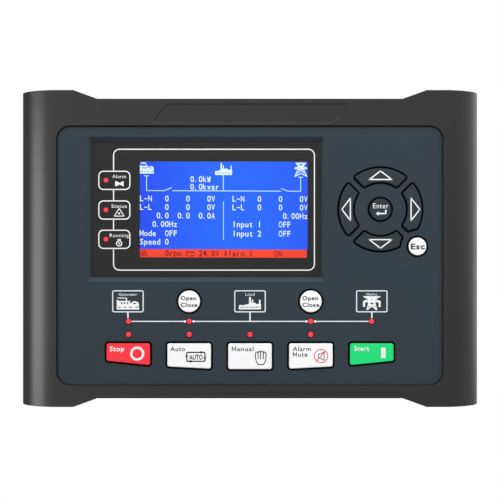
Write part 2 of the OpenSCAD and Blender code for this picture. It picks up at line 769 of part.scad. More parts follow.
module rear_housing() {
    color("#2b2b2c") difference() {
        union() {
            difference() {
                housing_ring(housing_w, housing_h, rim_y, ledge_y);
                plate(inner_w, inner_h, rim_y - 1, ledge_in);
                plate(open_w, open_h, ledge_in - 1, ledge_y + 1);
                plate(open_w - 20, open_h + 2 * (bead + cover_fit), bead_y - bead_t / 2 - 0.1,
                    bead_y + bead_t / 2 + 0.1);
            }
            for (p = ties) {
                far = sign(p.x) * (inner_w / 2 + 1);
                rod(p, pcb_back, ledge_y - 0.5, tie_column);
                block(min(p.x, far), max(p.x, far), pcb_back, ledge_in + 0.5, p.y - 1, p.y + 1);
            }
        }
        for (p = ties) {
            rod(p, pcb_back - 1, ledge_y + 1, tie_d + 2 * screw_gap);
            rod(p, ledge_y - tie_sink, ledge_y + 1, screw_head + 0.6);
        }
        for (k = [0:len(top_ways) - 1])
            plate(block_w(top_ways[k]) + 0.8, header_h + 0.8, ledge_in - 1, ledge_y + 1,
                [block_x(top_ways, k), term_z]);
        for (k = [0:len(low_ways) - 1])
            plate(block_w(low_ways[k]) + 0.8, header_h + 0.8, ledge_in - 1, ledge_y + 1,
                [block_x(low_ways, k), -term_z]);
        plate(port_w + 1, port_h + 0.8, ledge_in - 1, ledge_y + 1, [port_x, term_z]);
        for (s = [-1, 1], t = [-1, 1], y = clip_tabs)
            mirror([s > 0 ? 0 : 1, 0, 0])
                block(inner_w / 2 - 0.5, housing_w / 2 + 1, y - 0.2, y + tab_t + 0.2,
                clip_z * t - tab_w / 2 - 0.3, clip_z * t + tab_w / 2 + 0.3);
    }
}

// Vented cover over the rear board. Its lip snaps into the housing's opening.
module vent_cover() {
    color("#2b2b2c") difference() {
        union() {
            housing_ring(hump_w, hump_h, ledge_y, hump_y);
            plate(open_w - 2 * cover_fit, open_h - 2 * cover_fit, ledge_in, ledge_y + 0.5);
            plate(open_w - 24, open_h + 2 * bead, bead_y - bead_t / 2, bead_y + bead_t / 2);
        }
        plate(open_w - 2 * cover_fit - 2 * cover_lip, open_h - 2 * cover_fit - 2 * cover_lip, ledge_in - 1,
            ledge_y + 2);
        plate(open_w, open_h, ledge_y + 1.5, hump_y - housing_wall);
        for (s = [-1, 1], k = [0:vents - 1])
            plate(vent_w, vent_h, hump_y - housing_wall - 1, hump_y + 1,
                [(k - (vents - 1) / 2) * vent_pitch, s * vent_z]);
    }
}

module housing_screws() {
    color("#b9bdc2") for (p = ties) difference() {
        union() {
            rod(p, ledge_y - tie_sink, ledge_y - 0.6, screw_head);
            rod(p, fascia_back + 1, ledge_y - tie_sink, tie_d);
        }
        plate(slot_l, slot_w, ledge_y - 1.5, ledge_y, p);
        plate(slot_w, slot_l, ledge_y - 1.5, ledge_y, p);
    }
}

module pin_header(c, n) {
    w = block_w(n);
    color("#2f7d4a") difference() {
        plate(w, header_h, io_back, io_back + header_d, c);
        plate(w - 2 * term_wall + 0.2, header_h - 2, io_back + header_floor, io_back + header_d + 1, c);
    }
    color("#d0d3d6") for (k = [0:n - 1])
        plate(term_pin, term_pin, io_back + header_floor, io_back + header_d - 1.2,
            [c.x + (k - (n - 1) / 2) * term_pitch, c.y]);
}

module screw_plug(c, n) {
    out = sign(c.y);
    color("#2f8f55") difference() {
        union() {
            plate(n * term_pitch + 0.2 - 2 * term_fit, header_h - 2 - 2 * term_fit,
                io_back + header_floor + 0.3, plug_y, c);
            plate(n * term_pitch + 2 * term_wall, plug_h, plug_y, plug_back, c);
        }
        for (k = [0:n - 1]) {
            x = c.x + (k - (n - 1) / 2) * term_pitch;
            plate(term_pin + 1, term_pin + 1, io_back, io_back + header_d - 0.8, [x, c.y]);
            rod([x, c.y], plug_back - 4.5, plug_back + 1, term_screw + 0.4);
            translate([x, plug_y + wire_d / 2 + 0.8, c.y + out * (plug_h / 2 - 5)])
                rotate([out > 0 ? 0 : 180, 0, 0]) cylinder(h = 6, d = wire_d);
        }
    }
}

module top_header_1() { pin_header([block_x(top_ways, 0), term_z], top_ways[0]); }
module top_header_2() { pin_header([block_x(top_ways, 1), term_z], top_ways[1]); }
module low_header_1() { pin_header([block_x(low_ways, 0), -term_z], low_ways[0]); }
module low_header_2() { pin_header([block_x(low_ways, 1), -term_z], low_ways[1]); }
module low_header_3() { pin_header([block_x(low_ways, 2), -term_z], low_ways[2]); }
module top_plug_1() { screw_plug([block_x(top_ways, 0), term_z], top_ways[0]); }
module top_plug_2() { screw_plug([block_x(top_ways, 1), term_z], top_ways[1]); }
module low_plug_1() { screw_plug([block_x(low_ways, 0), -term_z], low_ways[0]); }
module low_plug_2() { screw_plug([block_x(low_ways, 1), -term_z], low_ways[1]); }
module low_plug_3() { screw_plug([block_x(low_ways, 2), -term_z], low_ways[2]); }

module screw_row(c, n) {
    for (k = [0:n - 1]) let (p = [c.x + (k - (n - 1) / 2) * term_pitch, c.y]) difference() {
        rod(p, plug_back - 4.5, plug_back - 0.9, term_screw);
        plate(term_screw + 1, 0.7, plug_back - 1.8, plug_back, p);
    }
}

module terminal_screws() {
    color("#c4c7ca") {
        for (k = [0:len(top_ways) - 1]) screw_row([block_x(top_ways, k), term_z], top_ways[k]);
        for (k = [0:len(low_ways) - 1]) screw_row([block_x(low_ways, k), -term_z], low_ways[k]);
    }
}

module service_port() {
    c = [port_x, term_z];
    color("#c6c9cc") difference() {
        plate(port_w, port_h, io_back, ledge_y + 0.8, c);
        plate(port_w - 2 * port_wall, port_h - 2 * port_wall, io_back + 1.5, ledge_y + 2, c);
    }
    color("#f0f0ee") plate(port_w / 2, port_h / 3, io_back + 1.5, ledge_y, c);
}

module fixing_clips() {
    color("#b4b8bd") for (s = [-1, 1], t = [-1, 1]) mirror([s > 0 ? 0 : 1, 0, 0]) {
        x0 = housing_w / 2 + 0.1;
        translate([0, 0, clip_z * t - clip_w / 2]) difference() {
            linear_extrude(clip_w) polygon([[x0, clip_y], [x0 + clip_t, clip_y],
                [x0 + clip_t, clip_end - 2 * clip_foot], [x0 + clip_t + 2, clip_end - clip_foot],
                [clip_x + clip_lug, clip_end - clip_foot], [clip_x + clip_lug, clip_end], [x0, clip_end]]);
            translate([clip_x, clip_end - clip_foot - 1, clip_w / 2]) rotate([-90, 0, 0])
                cylinder(h = clip_foot + 2, d = clip_screw + screw_gap);
        }
        for (y = clip_tabs)
            block(inner_w / 2 - 1, x0 + 0.5, y, y + tab_t, clip_z * t - tab_w / 2, clip_z * t + tab_w / 2);
    }
}

module clip_screws() {
    color("#8f9499") for (s = [-1, 1], t = [-1, 1]) let (p = [s * clip_x, t * clip_z]) difference() {
        union() {
            cone(p, panel_t, panel_t + 1, clip_screw - 1.6, clip_screw);
            rod(p, panel_t + 1, clip_end + 3, clip_screw);
            rod(p, clip_end + 3, clip_end + 6, clip_screw + 3);
        }
        plate(clip_screw + 4, 1, clip_end + 4.6, clip_end + 7, p);
    }
}

front_bezel();
panel_gasket();
fascia_panel();
display_window();
display_gasket();
lcd_frame();
lcd_glass();
lcd_ribbon();
lcd_connector();
keypad_mat();
stop_key();
auto_key();
manual_key();
mute_key();
start_key();
up_key();
left_key();
down_key();
right_key();
generator_breaker_key();
mains_breaker_key();
enter_key();
esc_key();
status_light_pipes();
alarm_light_pipes();
led_chips();
key_contacts();
front_pcb();
processor();
battery_holder();
clock_battery();
board_socket();
board_header();
pcb_spacers();
board_screws();
io_pcb();
output_relays();
current_transformers();
capacitors();
rear_housing();
vent_cover();
housing_screws();
top_header_1();
top_header_2();
low_header_1();
low_header_2();
low_header_3();
top_plug_1();
top_plug_2();
low_plug_1();
low_plug_2();
low_plug_3();
terminal_screws();
service_port();
fixing_clips();
clip_screws();
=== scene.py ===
"""Looks of a panel-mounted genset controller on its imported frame, laid out as a Blender add-on.

The drawing helpers use millimetres of the front view: x to the right, z up, and y into the panel.
"""

import math

import bmesh
import bpy
from mathutils import Matrix, Vector


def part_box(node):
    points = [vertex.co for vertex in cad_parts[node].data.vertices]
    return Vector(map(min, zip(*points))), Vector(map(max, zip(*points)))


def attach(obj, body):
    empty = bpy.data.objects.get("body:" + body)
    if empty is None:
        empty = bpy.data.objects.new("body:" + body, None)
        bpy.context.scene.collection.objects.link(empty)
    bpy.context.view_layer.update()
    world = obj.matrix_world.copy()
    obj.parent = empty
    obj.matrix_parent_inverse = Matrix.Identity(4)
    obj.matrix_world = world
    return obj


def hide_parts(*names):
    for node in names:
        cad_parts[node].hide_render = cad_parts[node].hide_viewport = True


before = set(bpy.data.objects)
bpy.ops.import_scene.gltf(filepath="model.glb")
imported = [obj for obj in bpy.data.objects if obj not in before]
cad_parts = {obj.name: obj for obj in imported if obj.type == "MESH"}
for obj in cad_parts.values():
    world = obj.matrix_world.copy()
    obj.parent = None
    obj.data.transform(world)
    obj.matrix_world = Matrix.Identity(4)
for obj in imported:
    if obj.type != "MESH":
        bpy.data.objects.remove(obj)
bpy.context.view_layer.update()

bl_info = {
    "name": "Genset controller looks",
    "version": (1, 0, 0),
    "blender": (4, 5, 0),
    "location": "3D View > Sidebar > Controller",
    "description": "Finishes, prints, display picture and stage of a panel-mounted genset controller",
    "category": "Object",
}

MM = 0.001
BODY = "controller"
MODE_KEYS = ("stop_key", "auto_key", "manual_key", "mute_key", "start_key")
ARROW_KEYS = ("up_key", "left_key", "down_key", "right_key")
BREAKER_KEYS = ("generator_breaker_key", "mains_breaker_key")
ROUND_KEYS = BREAKER_KEYS + ("enter_key", "esc_key")

# Planes that carry a print
FACE_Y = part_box("fascia_panel")[0].y / MM
KEY_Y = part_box("stop_key")[0].y / MM
GLASS_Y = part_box("display_window")[0].y / MM
PICTURE_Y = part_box("lcd_glass")[0].y / MM

# Heights of the lamp fields, the clear part of the window and the line width of printed frames
FIELDS = (39.5, 22.35, 5.4)
CLEAR = (-63.95, -5.35, 33.6, 50.55)
FRAME_LINE = 0.64

# Edges sharper than this angle stay sharp or get a bevel
SHARP = math.radians(32)

# Letters of straight strokes in a unit square, clearer than the typeface's at this size
LETTERS = {"M": ((0, 0), (0, 1), (0.5, 0.25), (1, 1), (1, 0)),
           "W": ((0, 1), (0.25, 0), (0.5, 0.8), (0.75, 0), (1, 1))}


def paint(code):
    """Linear colour of a #rrggbb code."""
    parts = [int(code[i:i + 2], 16) / 255 for i in (1, 3, 5)]
    return tuple(c / 12.92 if c <= 0.04045 else ((c + 0.055) / 1.055) ** 2.4 for c in parts)


def colour_prop(name, code, about):
    return bpy.props.FloatVectorProperty(
        name=name, description=about, subtype="COLOR", size=3, min=0.0, max=1.0, default=paint(code))


def length_prop(name, millimetres, about):
    return bpy.props.FloatProperty(
        name=name, description=about, unit="LENGTH", min=0.0, default=millimetres * MM)


def power_prop(name, watts, about):
    return bpy.props.FloatProperty(name=name, description=about, unit="POWER", min=0.0, default=watts)


class ControllerColours(bpy.types.PropertyGroup):
    """Colours of the mouldings, keys, prints and lights."""

    bezel: colour_prop("Bezel", "#303030", "Moulded bezel")
    # Painted highlight: a lighter copy of the bezel for the slopes and walls that face the top light
    glint: colour_prop("Bezel glint", "#464648", "Lit slopes and walls of the bezel")
    # Painted shade: the left ear's rough outer rim fades to this darker colour, standing in for shade on
    # its turned-away edge
    rim: colour_prop("Bezel rim", "#131313", "Rough outer rim of the bezel's left ear")
    fascia: colour_prop("Fascia", "#333c42", "Satin fascia")
    # Painted highlight: a lighter copy of the fascia for the window slopes that face up and sideways
    slope: colour_prop("Slope", "#38424a", "Slopes of the fascia round the window")
    window: colour_prop("Window", "#252525", "Smoked border of the display window")
    housing: colour_prop("Housing", "#232324", "Rear housing and vent cover")
    key_red: colour_prop("Stop key", "#fe3d49", "Cap of the stop key")
    key_green: colour_prop("Start key", "#25de7d", "Cap of the start key")
    key_white: colour_prop("White keys", "#fbfbfb", "Caps of the white keys")
    key_grey: colour_prop("Grey keys", "#2e363c", "Caps of the arrow and enter keys")
    # Painted shade: near-black for the fascia's walls and chamfers and for the key bodies, standing in for
    # shade in the gaps; the key bodies are partly black in their own right
    shade: colour_prop("Key gap", "#050708", "Dark body of the keys and walls of their openings")
    ink_white: colour_prop("White ink", "#f2f2f2", "White print")
    ink_pale: colour_prop("Pale ink", "#e2e7ee", "Lines of the mimic diagram")
    ink_dark: colour_prop("Dark ink", "#161616", "Legends on the white mode keys")
    ink_grey: colour_prop("Grey ink", "#262626", "Legends on the round white keys")
    ink_red: colour_prop("Red ink", "#ea3d4b", "Barred ring on the mute key")
    lens: colour_prop("Lights", "#e03a47", "Lit lenses of the lights")
    screen: colour_prop("Screen", "#286bff", "Middle of the display picture")
    screen_edge: colour_prop("Screen edge", "#2650f8", "Sides of the display picture")
    screen_line: colour_prop("Screen lines", "#c2f2ff", "Lines of the display picture")
    screen_text: colour_prop("Screen text", "#ebffff", "Words and symbols of the display picture")
    bar: colour_prop("Screen bar", "#ff4a31", "Bar along the bottom of the display picture")
    bar_text: colour_prop("Bar text", "#7a120c", "Words on the bar")


class ControllerSizes(bpy.types.PropertyGroup):
    """Sizes of the prints and edges."""

    ink: length_prop("Ink", 0.03, "Thickness of the printed ink")
    film: length_prop("Film", 0.15, "Thickness of the dark film on the window")
    edge: length_prop("Edge", 0.4, "Rounding of the bezel's outer edges")
    # The dark chamfers round the fascia and the key openings are painted near-black as shade in the gaps
    groove: length_prop("Groove", 0.3, "Dark chamfer round the fascia")
    chamfer: length_prop("Chamfer", 0.36, "Dark chamfer round the key openings")


class ControllerStage(bpy.types.PropertyGroup):
    """Camera and lights."""

    distance: length_prop("Distance", 475, "Camera to the bezel's front")
    width: length_prop("View width", 287.03, "Width of the picture at the bezel's front")
    drop: length_prop("Camera drop", 0.86, "Camera below the bezel's middle")
    top: power_prop("Top light", 2.2, "Power of the soft light above the front")
    left: power_prop("Left light", 1.9, "Power of the soft light on the left")
    right: power_prop("Right light", 2.4, "Power of the soft light on the right")
    strip: power_prop("Left strip", 7.6, "Power of the left light that only shows as a reflection")
    edge: power_prop("Right strip", 2.8, "Power of the right light that only shows as a reflection")
    rim: power_prop("Rim light", 0.9, "Power of the light behind the right side")
    back: power_prop("Back light", 3.5, "Power of the soft light behind")
    sky: bpy.props.FloatProperty(name="Sky", description="Strength of the light all round", default=0.36)


def colours():
    return bpy.context.scene.controller_colours


def sizes():
    return bpy.context.scene.controller_sizes


# Finishes


def node(tree, kind, *values, out=0, use=None, **inputs):
    """Adds a shader node and returns one of its outputs.

    Inputs come in order or by name, with _ for a space. A socket is linked, and any other value is set.
    """
    made = tree.nodes.new("ShaderNode" + kind)
    for name, value in (use or {}).items():
        setattr(made, name, value)
    pairs = list(zip(made.inputs, values))
    pairs += [(made.inputs[name.replace("_", " ")], value) for name, value in inputs.items()]
    for socket, value in pairs:
        if isinstance(value, bpy.types.NodeSocket):
            tree.links.new(value, socket)
        else:
            socket.default_value = value
    return made.outputs[out]


def new_material(name):
    """A material, its node tree and its shader."""
    material = bpy.data.materials.new(name)
    material.use_nodes = True
    return material, material.node_tree, material.node_tree.nodes["Principled BSDF"]


def shaded(colour, times):
    return (*[min(1, c * times) for c in colour], 1)


def finish(name, colour, rough=0.5, metal=0.0, level=0.5, drift=0.06, grain=0.3, size=0.3, glow=None):
    """A finish with slow colour drift, uneven gloss and a grain of the given size in millimetres.

    A finish that is there already is used as it is.
    """
    name += "_look"
    if name in bpy.data.materials:
        return bpy.data.materials[name]
    cloud_scale = 45
    uneven = 0.06
    grain_depth = 0.1 * size * MM
    material, tree, shader = new_material(name)
    shader.inputs["Metallic"].default_value = metal
    shader.inputs["Specular IOR Level"].default_value = level
    coords = node(tree, "TexCoord", out="Object")
    cloud = node(tree, "TexNoise", Vector=coords, Scale=cloud_scale, Detail=4)
    speck = node(tree, "TexNoise", Vector=coords, Scale=1 / (size * MM), Detail=2)
    tone = node(tree, "Mix", out="Result", use={"data_type": "RGBA"}, Factor=cloud,
                A=shaded(colour, 1 - drift), B=shaded(colour, 1 + drift))
    gloss = node(tree, "MapRange", Value=speck,
                 To_Min=max(0.02, rough - uneven), To_Max=min(1, rough + uneven))
    tree.links.new(tone, shader.inputs["Base Color"])
    tree.links.new(gloss, shader.inputs["Roughness"])
    if grain:
        bump = node(tree, "Bump", Height=speck, Strength=grain, Distance=grain_depth)
        tree.links.new(bump, shader.inputs["Normal"])
    if glow:
        tree.links.new(tone, shader.inputs["Emission Color"])
        shader.inputs["Emission Strength"].default_value = glow
    return material


def fade_sides(material, start, end, rough, left_shade_colour=None):
    """Changes a finish's gloss on both sides of the object between two distances from the middle.

    With a shade colour, both gloss and colour change, on the left side alone: that colour is painted
    shade.
    """
    tree = material.node_tree
    shader = tree.nodes["Principled BSDF"]
    x = node(tree, "SeparateXYZ", node(tree, "TexCoord", out="Object"))
    changes = [("FLOAT", "Roughness", rough)]
    # Painted shade: the colour darkens towards the left side alone
    if left_shade_colour:
        changes.append(("RGBA", "Base Color", (*left_shade_colour, 1)))
        away = node(tree, "Math", x, -1, use={"operation": "MULTIPLY"})
    else:
        away = node(tree, "Math", x, use={"operation": "ABSOLUTE"})
    fade = node(tree, "MapRange", use={"interpolation_type": "SMOOTHSTEP"}, Value=away,
                From_Min=start * MM, From_Max=end * MM)
    for kind, socket, value in changes:
        before = shader.inputs[socket].links[0].from_socket
        after = node(tree, "Mix", out="Result", use={"data_type": kind}, Factor=fade, A=before, B=value)
        tree.links.new(after, shader.inputs[socket])


def print_finish(name):
    """Matt ink in one of the named colours."""
    drift = 0.02 if name == "ink_white" else 0.06
    return finish(name, getattr(colours(), name), rough=0.6, level=0.2, grain=0.0, drift=drift)


def lit_lens():
    return finish("lens_lit", colours().lens, rough=0.4, level=0.2, grain=0.0, glow=0.35)


def clear_acrylic():
    material = finish("clear_acrylic", (0.96, 0.97, 0.98), rough=0.06, grain=0.0, drift=0.01)
    shader = material.node_tree.nodes["Principled BSDF"]
    shader.inputs["Transmission Weight"].default_value = 1.0
    shader.inputs["IOR"].default_value = 1.15
    return material


def lit_screen(name, colour, edge, x, half=54):
    """Glowing picture whose colour turns into the edge's, half millimetres away from x."""
    material, tree, shader = new_material(name)
    shader.inputs["Base Color"].default_value = (0, 0, 0, 1)
    shader.inputs["Roughness"].default_value = 0.4
    shader.inputs["Specular IOR Level"].default_value = 0.05
    shader.inputs["Emission Strength"].default_value = 1
    coords = node(tree, "TexCoord", out="Object")
    centred = node(tree, "Mapping", use={"vector_type": "TEXTURE"}, Vector=coords,
                   Location=(x * MM, 0, 0), Scale=(half * MM, 1, 1))
    away = node(tree, "Math", node(tree, "SeparateXYZ", centred), use={"operation": "ABSOLUTE"})
    square = node(tree, "Math", away, 2, use={"operation": "POWER"})
    tone = node(tree, "Mix", out="Result", use={"data_type": "RGBA"}, Factor=square,
                A=(*colour, 1), B=(*edge, 1))
    tree.links.new(tone, shader.inputs["Emission Color"])
    return material


def coat(material, *names):
    """Gives CAD nodes a finish."""
    for name in names:
        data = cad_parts[name].data
        data.materials.clear()
        data.materials.append(material)


# Drawing helpers


def place(mesh, name, materials, body):
    """Makes a bmesh a piece that rides on a body."""
    data = bpy.data.meshes.new(name)
    mesh.to_mesh(data)
    mesh.free()
    for material in materials:
        data.materials.append(material)
    piece = bpy.data.objects.new(name, data)
    bpy.context.scene.collection.objects.link(piece)
    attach(piece, body)
    return piece


def dress(node_name, materials, pick, body=BODY, edges=(), clamp=True):
    """A merged copy of a CAD node that stands for it.

    Its convex edges are bevelled where asked, and pick names the finish of a face.
    """
    mesh = bmesh.new()
    mesh.from_mesh(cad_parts[node_name].data)
    bmesh.ops.remove_doubles(mesh, verts=mesh.verts[:], dist=0.001 * MM)
    bmesh.ops.dissolve_limit(mesh, angle_limit=0.002, verts=mesh.verts[:], edges=mesh.edges[:])
    for width, where in edges:
        sharp = [e for e in mesh.edges
                 if e.calc_face_angle(0) > SHARP and e.is_convex and where(middle(e))]
        bmesh.ops.bevel(mesh, geom=sharp, offset=width, offset_type="OFFSET", segments=2, profile=0.5,
                        affect="EDGES", material=-1, clamp_overlap=clamp)
    for face in mesh.faces:
        face.smooth = True
        face.material_index = pick(face.normal, face.calc_center_median() / MM)
    for line in mesh.edges:
        line.smooth = line.calc_face_angle(0) < SHARP
    piece = place(mesh, node_name + "_dressed", materials, body)
    even = piece.modifiers.new("even_normals", "WEIGHTED_NORMAL")
    even.keep_sharp = True
    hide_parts(node_name)
    return piece


def soften(node_name, material, edge):
    """A copy of a CAD node with all its outer edges rounded by the given millimetres."""
    everywhere = [(edge * MM, lambda p: True)]
    return dress(node_name, [material], lambda normal, centre: 0, edges=everywhere)


def middle(edge):
    return (edge.verts[0].co + edge.verts[1].co) / 2 / MM


def spot(node_name):
    """Where a print on a node is measured from, to a tenth of a millimetre.

    It is the middle, or the middle of the upper side on a mode key.
    """
    low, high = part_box(node_name)
    z = high.z if node_name in MODE_KEYS else (low.z + high.z) / 2
    return round((low.x + high.x) / 2 / MM, 1), round(z / MM, 1)


def corners(x0, z0, x1, z1):
    return (x0, z0), (x1, z0), (x1, z1), (x0, z1)


def turned(points, quarters):
    """Points after some quarter turns to the left about the origin."""
    turn = Matrix.Rotation(math.pi / 2 * quarters, 2)
    return [turn @ Vector(p) for p in points]


def word_mesh(words, bold=0.0, spread=1.0):
    """Flat mesh of words in the built-in typeface, one unit tall."""
    curve = bpy.data.curves.new("words", "FONT")
    curve.body = words
    curve.offset = bold
    curve.space_character = spread
    curve.resolution_u = 3
    curve.fill_mode = "FRONT"
    holder = bpy.data.objects.new("words", curve)
    bpy.context.scene.collection.objects.link(holder)
    data = bpy.data.meshes.new_from_object(holder)
    bpy.data.objects.remove(holder)
    bpy.data.curves.remove(curve)
    return data


def cap_height():
    data = word_mesh("H")
    zs = [v.co.y for v in data.vertices]
    bpy.data.meshes.remove(data)
    return max(zs) - min(zs)


CAP = cap_height()


class Ink:
    """Flat shapes in one plane of the front view, measured from an origin and made solid at the end."""

    def __init__(self, y, origin=(0, 0)):
        self.mesh = bmesh.new()
        self.y = y
        self.origin = origin

    def point(self, x, z):
        return Vector(((self.origin[0] + x) * MM, self.y * MM, (self.origin[1] + z) * MM))

    def add(self, part):
        data = bpy.data.meshes.new("part")
        part.to_mesh(data)
        part.free()
        self.mesh.from_mesh(data)
        bpy.data.meshes.remove(data)

    def shape(self, points, radius=0.0, stroke=0.0, gaps=()):
        """A filled outline, or a line of the given stroke inside it, with gaps on its left side."""
        part = bmesh.new()
        verts = [part.verts.new(self.point(x, z)) for x, z in points]
        part.faces.new(verts)
        if radius:
            bmesh.ops.bevel(part, geom=verts, offset=radius * MM, offset_type="OFFSET", segments=6,
                            profile=0.5, affect="VERTICES", material=-1)
        if stroke:
            self.hollow(part, stroke)
        for low, high in gaps:
            self.cut(part, min(x for x, z in points) + stroke, low, high)
        self.add(part)

    def hollow(self, part, stroke):
        part.normal_update()
        inner = part.faces[:]
        bmesh.ops.inset_individual(part, faces=inner, thickness=stroke * MM, use_even_offset=True)
        bmesh.ops.delete(part, geom=inner, context="FACES_ONLY")

    def cut(self, part, x, low, high):
        """Takes out what lies left of x between two heights."""
        start, end = self.point(x, low), self.point(x, high)
        for height in (start, end):
            faces = [f for f in part.faces if f.calc_center_median().x < start.x]
            lines = dict.fromkeys(e for f in faces for e in f.edges)
            verts = dict.fromkeys(v for f in faces for v in f.verts)
            bmesh.ops.bisect_plane(part, geom=[*faces, *lines, *verts],
                                   plane_co=height, plane_no=(0, 0, 1))
        gone = [f for f in part.faces if f.calc_center_median().x < start.x
                and start.z < f.calc_center_median().z < end.z]
        bmesh.ops.delete(part, geom=gone, context="FACES")

    def border(self, outer, inner):
        """A sheet between two rectangles."""
        part = bmesh.new()
        for sides in (outer, inner):
            loop = [part.verts.new(self.point(x, z)) for x, z in corners(*sides)]
            for k in range(4):
                part.edges.new((loop[k - 1], loop[k]))
        bmesh.ops.bridge_loops(part, edges=part.edges[:])
        self.add(part)

    def rect(self, x0, z0, x1, z1, radius=0.0, stroke=0.0, gaps=()):
        self.shape(corners(x0, z0, x1, z1), radius, stroke, gaps)

    def disc(self, x, z, radius, stroke=0.0, segments=32):
        part = bmesh.new()
        stand = Matrix.Translation(self.point(x, z)) @ Matrix.Rotation(math.pi / 2, 4, "X")
        bmesh.ops.create_circle(part, cap_ends=True, segments=segments, radius=radius * MM, matrix=stand)
        if stroke:
            self.hollow(part, stroke)
        self.add(part)

    def line(self, a, b, stroke):
        a, b = Vector(a), Vector(b)
        run = b - a
        side = Vector((-run.y, run.x)).normalized() * stroke / 2
        self.shape([a - side, b - side, b + side, a + side])

    def path(self, points, stroke):
        """Joined lines with round joints."""
        for a, b in zip(points, points[1:]):
            self.line(a, b, stroke)
        for x, z in points[1:-1]:
            self.disc(x, z, stroke / 2, segments=12)

    def letter(self, letter, x0, x1, z, cap, stroke):
        """A letter of straight strokes."""
        self.path([(x0 + u * (x1 - x0), z + v * cap) for u, v in LETTERS[letter]], stroke)

    def words(self, words, x0, x1, z, cap, bold=0.0, spread=1.0):
        """Words from x0 to x1 on the line z, with the given height of capitals."""
        data = word_mesh(words, bold, spread)
        xs = [v.co.x for v in data.vertices]
        left = min(xs)
        wide = (x1 - x0) / (max(xs) - left)
        tall = cap / CAP
        for v in data.vertices:
            v.co = self.point(x0 + (v.co.x - left) * wide, z + v.co.y * tall)
        self.mesh.from_mesh(data)
        bpy.data.meshes.remove(data)

    def solid(self, name, material, body, slot, thick=None):
        """Gives the shapes a thickness in millimetres towards the front, or that of the ink."""
        mesh = self.mesh
        thick = sizes().ink if thick is None else thick * MM
        grown = bmesh.ops.extrude_face_region(mesh, geom=mesh.faces[:])
        moved = [v for v in grown["geom"] if isinstance(v, bmesh.types.BMVert)]
        bmesh.ops.translate(mesh, verts=moved, vec=(0, -thick, 0))
        bmesh.ops.recalc_face_normals(mesh, faces=mesh.faces[:])
        return place(mesh, name, [material], body)


class Icon:
    """Draws in a unit square that is set in a box of the front view, with gaps in a second ink."""

    def __init__(self, ink, box, gaps=None):
        self.ink = ink
        self.gaps = gaps
        self.x, self.z = box[:2]
        self.wide, self.tall = box[2] - box[0], box[3] - box[1]

    def at(self, u, v):
        return (self.x + u * self.wide, self.z + v * self.tall)

    def rect(self, u0, v0, u1, v1, gap=False):
        self.shape(corners(u0, v0, u1, v1), gap)

    def shape(self, points, gap=False):
        (self.gaps if gap else self.ink).shape([self.at(*p) for p in points])

    def path(self, points, stroke):
        self.ink.path([self.at(*p) for p in points], stroke)

    def lines(self, stroke, *pairs):
        for a, b in pairs:
            self.ink.line(self.at(*a), self.at(*b), stroke)


def genset_icon(icon):
    """An engine with its silencer and a generator on a base frame."""
    for silencer in ((0.13, 0.87, 0.35, 1.0), (0.02, 0.91, 0.46, 0.97), (0.41, 0.68, 0.46, 0.92)):
        icon.rect(*silencer)
    icon.rect(0.0, 0.16, 0.07, 0.78)
    icon.rect(0.07, 0.16, 0.6, 0.7)
    icon.rect(0.0, 0.0, 1.0, 0.16)
    icon.shape([(0.6, 0.16), (0.97, 0.16), (1, 0.42), (0.945, 0.62), (0.86, 0.64), (0.8, 0.69),
                (0.72, 0.64), (0.67, 0.58), (0.63, 0.5), (0.6, 0.5)])
    for u in (0.222, 0.352, 0.483):
        icon.rect(u - 0.035, 0.46, u + 0.035, 0.58, gap=True)
    icon.rect(0.725, 0.465, 0.865, 0.54, gap=True)
    for u0, u1 in ((0.06, 0.18), (0.3, 0.41), (0.54, 0.68), (0.83, 0.95)):
        icon.rect(u0, 0.14, u1, 0.2, gap=True)


def factory_icon(icon, chimney=0.46):
    """A works with chimneys, the tall one at the given place, and a row of windows."""
    u = chimney
    icon.shape([(0, 0), (1, 0), (1, 0.38), (0.975, 0.45), (0.975, 0.76), (0.91, 0.76), (0.91, 0.46),
                (0.8, 0.4), (0.74, 0.51), (u + 0.185, 0.53), (u + 0.185, 0.77), (u + 0.13, 0.77),
                (u + 0.13, 0.53), (u + 0.085, 0.53), (u + 0.085, 0.97), (u, 0.97), (u - 0.005, 0.42),
                (0.14, 0.31), (0.07, 0.36), (0.01, 0.32)])
    for k in range(9):
        icon.rect(0.08 + 0.1 * k, 0.13, 0.13 + 0.1 * k, 0.2, gap=True)


def pylon_icon(icon):
    """A lattice tower with two cross-arms and hanging insulators."""
    icon.shape([(0.03, 1), (0.03, 0.94), (0.28, 0.8), (0.72, 0.8), (0.97, 0.94), (0.97, 1)])
    icon.shape([(0, 0.62), (0.02, 0.55), (0.98, 0.55), (1, 0.62), (0.71, 0.8), (0.29, 0.8)])
    icon.shape([(0.31, 0.55), (0.2, 0), (0.28, 0), (0.5, 0.24), (0.72, 0), (0.8, 0), (0.69, 0.55)])
    for u in (0.075, 0.925):
        icon.rect(u - 0.058, 0.22, u + 0.058, 0.56)
    icon.shape([(0.39, 0.47), (0.5, 0.39), (0.61, 0.47), (0.5, 0.54)], gap=True)
    icon.shape([(0.46, 0.77), (0.5, 0.72), (0.54, 0.77), (0.5, 0.82)], gap=True)
    leg = ((0.2, 0.17), (0.11, 0.27), (0.175, 0.31))
    arm = ((0.29, 0.63), (0.2, 0.64), (0.21, 0.7))
    for side in (-1, 1):
        for opening in (leg, arm):
            icon.shape([(0.5 + side * u, v) for u, v in opening], gap=True)


# Pieces


